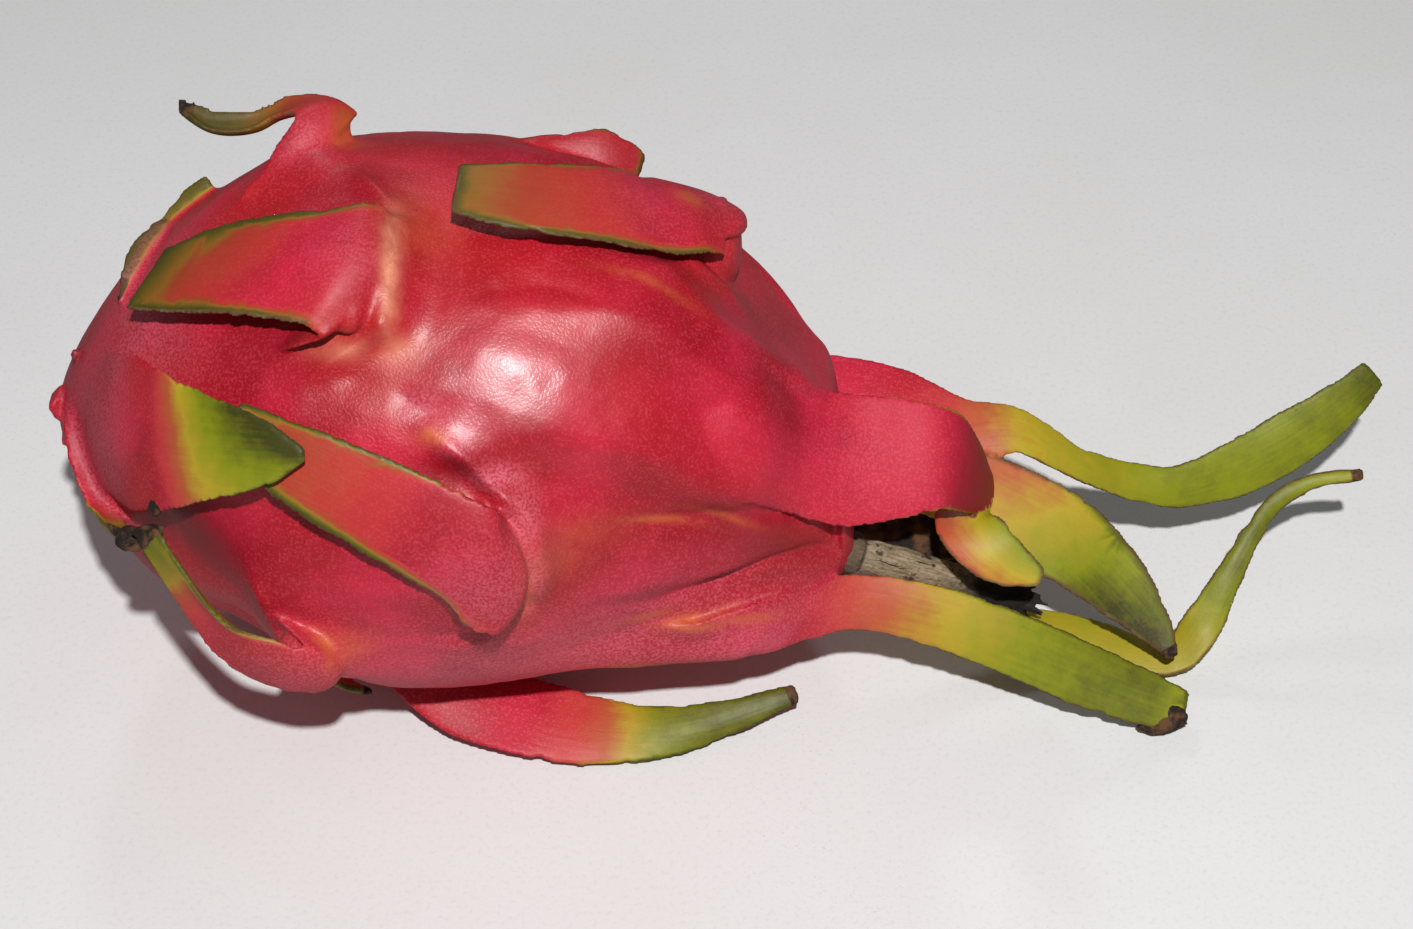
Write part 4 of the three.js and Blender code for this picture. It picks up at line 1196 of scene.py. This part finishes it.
def rind_material():
    """The waxy rind and its bracts, from pink through orange and yellow to green."""
    made, tree, principled = new_material("rind")
    place = tree.node("ShaderNodeTexCoord").outputs["Object"]
    green = tree.attribute("green")
    bract = tree.attribute("bract")
    mottle = tree.attribute("mottle")
    wax = tree.attribute("wax")
    grain, grain_height = grain_of(tree, place, RIND_GRAIN_SCALE)
    patchy = tree.noise(place, PATCH_SCALE, 3.0, 0.62)
    uneven = tree.plus(patchy, -0.5)
    lines = tree.flat_vector(tree.attribute("across"), tree.times(tree.attribute("run"), VEIN_STRETCH))
    vein = tree.noise(lines, 1.4, 2.0, 0.6)
    streak = tree.times(tree.plus(vein, -0.5), 0.15)

    def add(shift, *more):
        for value, strength in more:
            shift = tree.plus(shift, tree.times(value, strength))
        return shift

    pink = tree.mix(tree.plus(tree.attribute("blush"), uneven, True), CRIMSON, ROSE)
    pink = tree.mix(tree.times(tree.attribute("warmth"), 0.7), pink, WARM_RED)
    shift = add(green, (uneven, 0.16), (mottle, 0.035), (streak, green))
    ripe = tree.mix(tree.attribute("dull"), tree.ramp(shift, BRIGHT_STOPS), tree.ramp(shift, DULL_STOPS))
    colour = tree.mix(tree.span(green, 0.02, 0.16), pink, ripe)
    # Painted shade: a darker red where shade falls.
    colour = tree.mix(tree.times(tree.attribute("painted_shade"), 0.85), colour, PAINTED_SHADE_RED)
    # A whitish bloom with painted sheen, amber streaks and pale flesh, each broken up.
    for kind, broken, tint in (
        ("bloom_and_sheen", tree.span(grain_height, 0.35, 0.6, 0.3, 1.0), BLOOM_AND_SHEEN),
        ("amber", tree.span(patchy, 0.25, 0.6, 0.5, 1.0), AMBER),
        ("pale", tree.span(patchy, 0.3, 0.6, 0.55, 1.0), PALE_FLESH),
    ):
        colour = tree.mix(tree.times(tree.attribute(kind), broken), colour, tint)

    dots = tree.times(grain, tree.attribute("speckle"))
    dots = tree.times(dots, tree.span(green, 0.5, 0.0, 0.06, 0.4))
    # Fewer pale specks in the painted shade.
    dots = tree.times(dots, tree.span(tree.attribute("painted_shade"), 0.0, 0.8, 1.0, 0.1))
    colour = tree.mix(dots, colour, SPECKLE)
    tone = add(1.0, (mottle, 0.06), (tree.times(streak, bract), 0.8))
    toned = tree.node("ShaderNodeCombineColor", {0: tone, 1: tone, 2: tone}).outputs[0]
    colour = tree.mix(1.0, colour, toned, "MULTIPLY")

    rim = tree.maths("DIVIDE", add(tree.attribute("edge"), (uneven, 0.9)), tree.attribute("rim"))
    rim_mask = tree.times(tree.span(rim, 1.25, 0.5), bract)
    rim_colour = tree.mix(tree.span(add(patchy, (mottle, 0.1)), 0.46, 0.6), BROWN, STRAW)
    colour = tree.mix(tree.times(rim_mask, 0.8), colour, rim_colour)
    fleck = tree.times(tree.span(patchy, 0.72, 0.77), tree.span(green, 0.4, 0.8))
    colour = tree.mix(tree.times(fleck, 0.8), colour, BROWN)
    dried = tree.mix(tree.span(patchy, 0.40, 0.60), BLACK_BROWN, BROWN)
    dried = tree.mix(tree.span(patchy, 0.64, 0.74), dried, STRAW)
    dry_mask = tree.span(add(tree.attribute("dry"), (uneven, 0.5)), 0.3, 0.6)
    tree.feed(principled["Base Color"], tree.mix(dry_mask, colour, dried))

    rough = add(tree.span(patchy, 0.3, 0.7, 0.42, 0.50), (bract, 0.1), (rim_mask, 0.25), (wax, -0.13))
    tree.feed(principled["Roughness"], tree.plus(rough, tree.times(dry_mask, 0.4), True))
    principled["Specular IOR Level"].default_value = 0.40
    principled["Coat Roughness"].default_value = 0.42
    principled["Coat IOR"].default_value = 1.65
    tree.feed(principled["Coat Weight"], wax)
    height = tree.times(grain_height, tree.span(bract, 0.0, 1.0, 1.0, 0.4))
    height = add(height, (patchy, 0.4), (tree.times(vein, bract), 0.9), (tree.times(patchy, dry_mask), 4.0))
    tree.bump(principled, height, RIND_BUMP)
    return made


WOOD = (0.24, 0.17, 0.095)
WOOD_PALE = (0.38, 0.30, 0.20)
WOOD_DARK = (0.060, 0.034, 0.018)
# Black of the charred end and of the painted shadow before it.
CHAR_AND_SHADE = (0.012, 0.009, 0.007)


def stub_material():
    """Dry fibrous flower wood: grey-beige, spotted, black at the frayed end and darkened before it by painted
    shadow.
    """
    made, tree, principled = new_material("dried wood")
    place = tree.node("ShaderNodeTexCoord").outputs["Object"]
    lines = tree.flat_vector(tree.attribute("turn"), tree.times(tree.attribute("run"), FIBRE_STRETCH))
    fibre = tree.noise(lines, 2.6, 3.0, 0.65)
    patchy = tree.noise(place, 420.0, 3.0, 0.65)
    grain, grain_height = grain_of(tree, place, WOOD_GRAIN_SCALE)
    colour = tree.mix(tree.span(fibre, 0.35, 0.65), WOOD, WOOD_PALE)
    colour = tree.mix(tree.span(patchy, 0.45, 0.36), colour, WOOD_DARK)
    colour = tree.mix(tree.times(tree.attribute("collar"), 0.7), colour, WOOD_DARK)
    colour = tree.mix(tree.times(grain, 0.3), colour, WOOD_DARK)
    # Black at the charred end, with painted shadow of the bract above running back along the stub.
    char_and_shade = tree.span(tree.plus(tree.attribute("charred_and_shaded"), tree.plus(patchy, -0.5)), 0.2, 0.9)
    tree.feed(principled["Base Color"], tree.mix(char_and_shade, colour, CHAR_AND_SHADE))
    tree.feed(principled["Roughness"], tree.span(patchy, 0.3, 0.7, 0.75, 0.92))
    height = tree.plus(tree.times(fibre, 1.2), patchy)
    tree.bump(principled, tree.plus(height, tree.times(grain_height, 0.4)), WOOD_BUMP)
    return made


fine_grain = fine_grain_group()

# Small dried or fleshy lumps on the rind: centre, radii, roughness and how dry they are. The first three
# make the black knot at a curled tip, whose dark dried colour also stands for painted shade inside the curl.
LUMPS = [
    ((-86.3, -30.7, 49.9), (2.5, 1.8, 2.2), 0.3, 1.0),
    ((-82.8, -32.6, 53.2), (1.9, 1.3, 1.4), 0.35, 1.0),
    ((-81.6, -31.0, 56.4), (0.8, 0.8, 1.4), 0.3, 0.8),
    ((71.0, -31.6, 2.0), (3.0, 1.1, 1.2), 0.35, 1.0),
    ((74.4, -30.6, 2.9), (1.3, 1.1, 1.4), 0.35, 1.0),
    ((-101.2, -3, 48), (1.7, 2.7, 2.4), 0.2, 0.0),
    ((-101.4, 4, 43), (1.5, 2.6, 2.6), 0.2, 0.0),
    ((-101.6, -1, 39), (1.3, 2.4, 2.2), 0.2, 0.0),
    ((-98.3, 0.6, 55.3), (0.6, 0.7, 1.3), 0.35, 0.5),
]

blades = []
for seed, added, bracts, placed in (
    (100, FOLD_STATION, REFLEXED, reflexed_stations),
    (200, 0, STANDING, standing_stations),
    (300, 0, FREE, free_stations),
):
    for number, bract in enumerate(bracts):
        blades.append(make_blade(bract, placed(bract), added, seed + number))

blade_parts = [blade_mesh(blade) for blade in blades]
lump_parts = [lump_mesh(*row[:3], 40 + number) for number, row in enumerate(LUMPS)]
pillows = [fold_pillow(bract, 60 + number) for number, bract in enumerate(REFLEXED)]
fruit_skin = new_object("fruit_skin", [body_mesh()] + blade_parts + lump_parts + pillows)
with_modifier(fruit_skin, "REMESH", mode="VOXEL", voxel_size=VOXEL * MM, adaptivity=0.0)

# The blade and the ring that each blade point belongs to.
blade_tree = tree_of(np.vstack([part[0] for part in blade_parts]))
blade_owner = np.concatenate([np.full(len(part[0]), number) for number, part in enumerate(blade_parts)])
blade_ring = []
for blade, part in zip(blades, blade_parts):
    last = len(blade["run"]) - 1
    rows = np.arange(len(part[0])) // BLADE_LOOP - len(CAP_ANGLES)
    rows[-2:] = (0, last)
    blade_ring.append(np.clip(rows, 0, last))
blade_ring = np.concatenate(blade_ring)

# The corners where a bract meets the rind are rounded, and then the whole skin is smoothed a little.
points = read_points(fruit_skin)
edges = read_edges(fruit_skin)
_, _, lift = place_on_body(points)
_, away = nearest(blade_tree, points)
corner = (1.0 - smooth(np.abs(lift) / FILLET_REACH)) * (1.0 - smooth(away / FILLET_REACH))
points = relax(points, edges, corner, FILLET_ROUNDS, FILLET_PULLS)
points = relax(points, edges, np.ones(len(points)), SKIN_ROUNDS, SKIN_PULLS)
points[:, 2] = np.maximum(points[:, 2], 0.0)
write_points(fruit_skin, points)
with_modifier(fruit_skin, "TRIANGULATE")
triangles = len(fruit_skin.data.polygons)
with_modifier(fruit_skin, "DECIMATE", decimate_type="COLLAPSE", ratio=MOST_TRIANGLES / triangles)
paint_rind(fruit_skin)
finish_surface(fruit_skin, rind_material())
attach(fruit_skin, "root")
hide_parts("fruit")

flower_stub = new_object("flower_stub", stub_parts())
with_modifier(flower_stub, "REMESH", mode="VOXEL", voxel_size=STUB_VOXEL * MM, adaptivity=0.0)
points = read_points(flower_stub)
write_points(flower_stub, relax(points, read_edges(flower_stub), np.ones(len(points)), 1, SKIN_PULLS))
paint_stub(flower_stub)
finish_surface(flower_stub, stub_material())
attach(flower_stub, "root")
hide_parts("dried_flower")

# Camera, floor and light.
scene = bpy.context.scene
elevation = math.radians(CAMERA_ELEVATION)
toward = Vector((0, math.cos(elevation), -math.sin(elevation)))
camera_data = bpy.data.cameras.new("camera")
camera_data.lens = LENS
camera_data.sensor_width = SENSOR
camera = bpy.data.objects.new("camera", camera_data)
scene.collection.objects.link(camera)
camera.location = Vector((CAMERA_TARGET - ORIGIN).tolist()) * MM - toward * CAMERA_DISTANCE * MM
camera.rotation_euler = toward.to_track_quat("-Z", "Y").to_euler()
scene.camera = camera

bpy.ops.mesh.primitive_plane_add(size=4.0)
floor = bpy.context.object
floor.name = "floor"
paper, tree, principled = new_material("paper")
place = tree.node("ShaderNodeTexCoord").outputs["Object"]
cloudy = tree.noise(place, 9.0, 5.0, 0.62)
fibres = tree.noise(place, 1100.0, 3.0, 0.7)
worn = tree.times(tree.span(cloudy, 0.54, 0.66), tree.span(fibres, 0.60, 0.70))
colour = tree.mix(tree.span(cloudy, 0.3, 0.7), (0.79, 0.79, 0.79), (0.83, 0.83, 0.84))
colour = tree.mix(tree.span(fibres, 0.5, 0.3, 0.0, 0.35), colour, (0.66, 0.66, 0.66))
colour = tree.mix(tree.times(worn, 0.35), colour, (0.42, 0.42, 0.41))
speck = tree.span(tree.noise(place, 260.0, 1.0, 0.5), 0.845, 0.86)
colour = tree.mix(tree.times(speck, 0.6), colour, (0.10, 0.09, 0.07))
mirrored = tree.node("ShaderNodeLightPath").outputs["Is Glossy Ray"]
tree.feed(principled["Base Color"], tree.mix(mirrored, colour, (0.25, 0.24, 0.24)))
principled["Roughness"].default_value = 0.9
tree.bump(principled, fibres, PAPER_BUMP, 0.5)
floor.data.materials.append(paper)


def lamp(name, azimuth, height, distance, size, power, colour):
    """A round lamp that looks at the fruit. Azimuth 0 is the front, and 90 the +X side."""
    data = bpy.data.lights.new(name, "AREA")
    data.shape = "DISK"
    data.size = size
    data.energy = power
    data.color = colour
    made = bpy.data.objects.new(name, data)
    scene.collection.objects.link(made)
    a, e = math.radians(azimuth), math.radians(height)
    way = Vector((math.sin(a) * math.cos(e), -math.cos(a) * math.cos(e), math.sin(e)))
    made.location = LAMP_AIM + way * distance
    made.rotation_euler = (-way).to_track_quat("-Z", "Y").to_euler()


lamp("key", 4, 61, 0.7, 0.022, 4.6, (1.0, 0.985, 0.97))
lamp("back", 194, 38, 0.9, 0.12, 0.7, (0.9, 0.95, 1.0))
world = bpy.data.worlds.new("room")
scene.world = world
world.use_nodes = True
sky = Tree(world.node_tree)
background = world.node_tree.nodes["Background"]
background.inputs["Color"].default_value = (0.97, 0.98, 1.0, 1)
glossy = sky.node("ShaderNodeLightPath").outputs["Is Glossy Ray"]
sky.feed(background.inputs["Strength"], sky.span(glossy, 0.0, 1.0, ROOM_LIGHT, ROOM_GLOSS))
scene.view_settings.view_transform = "Standard"
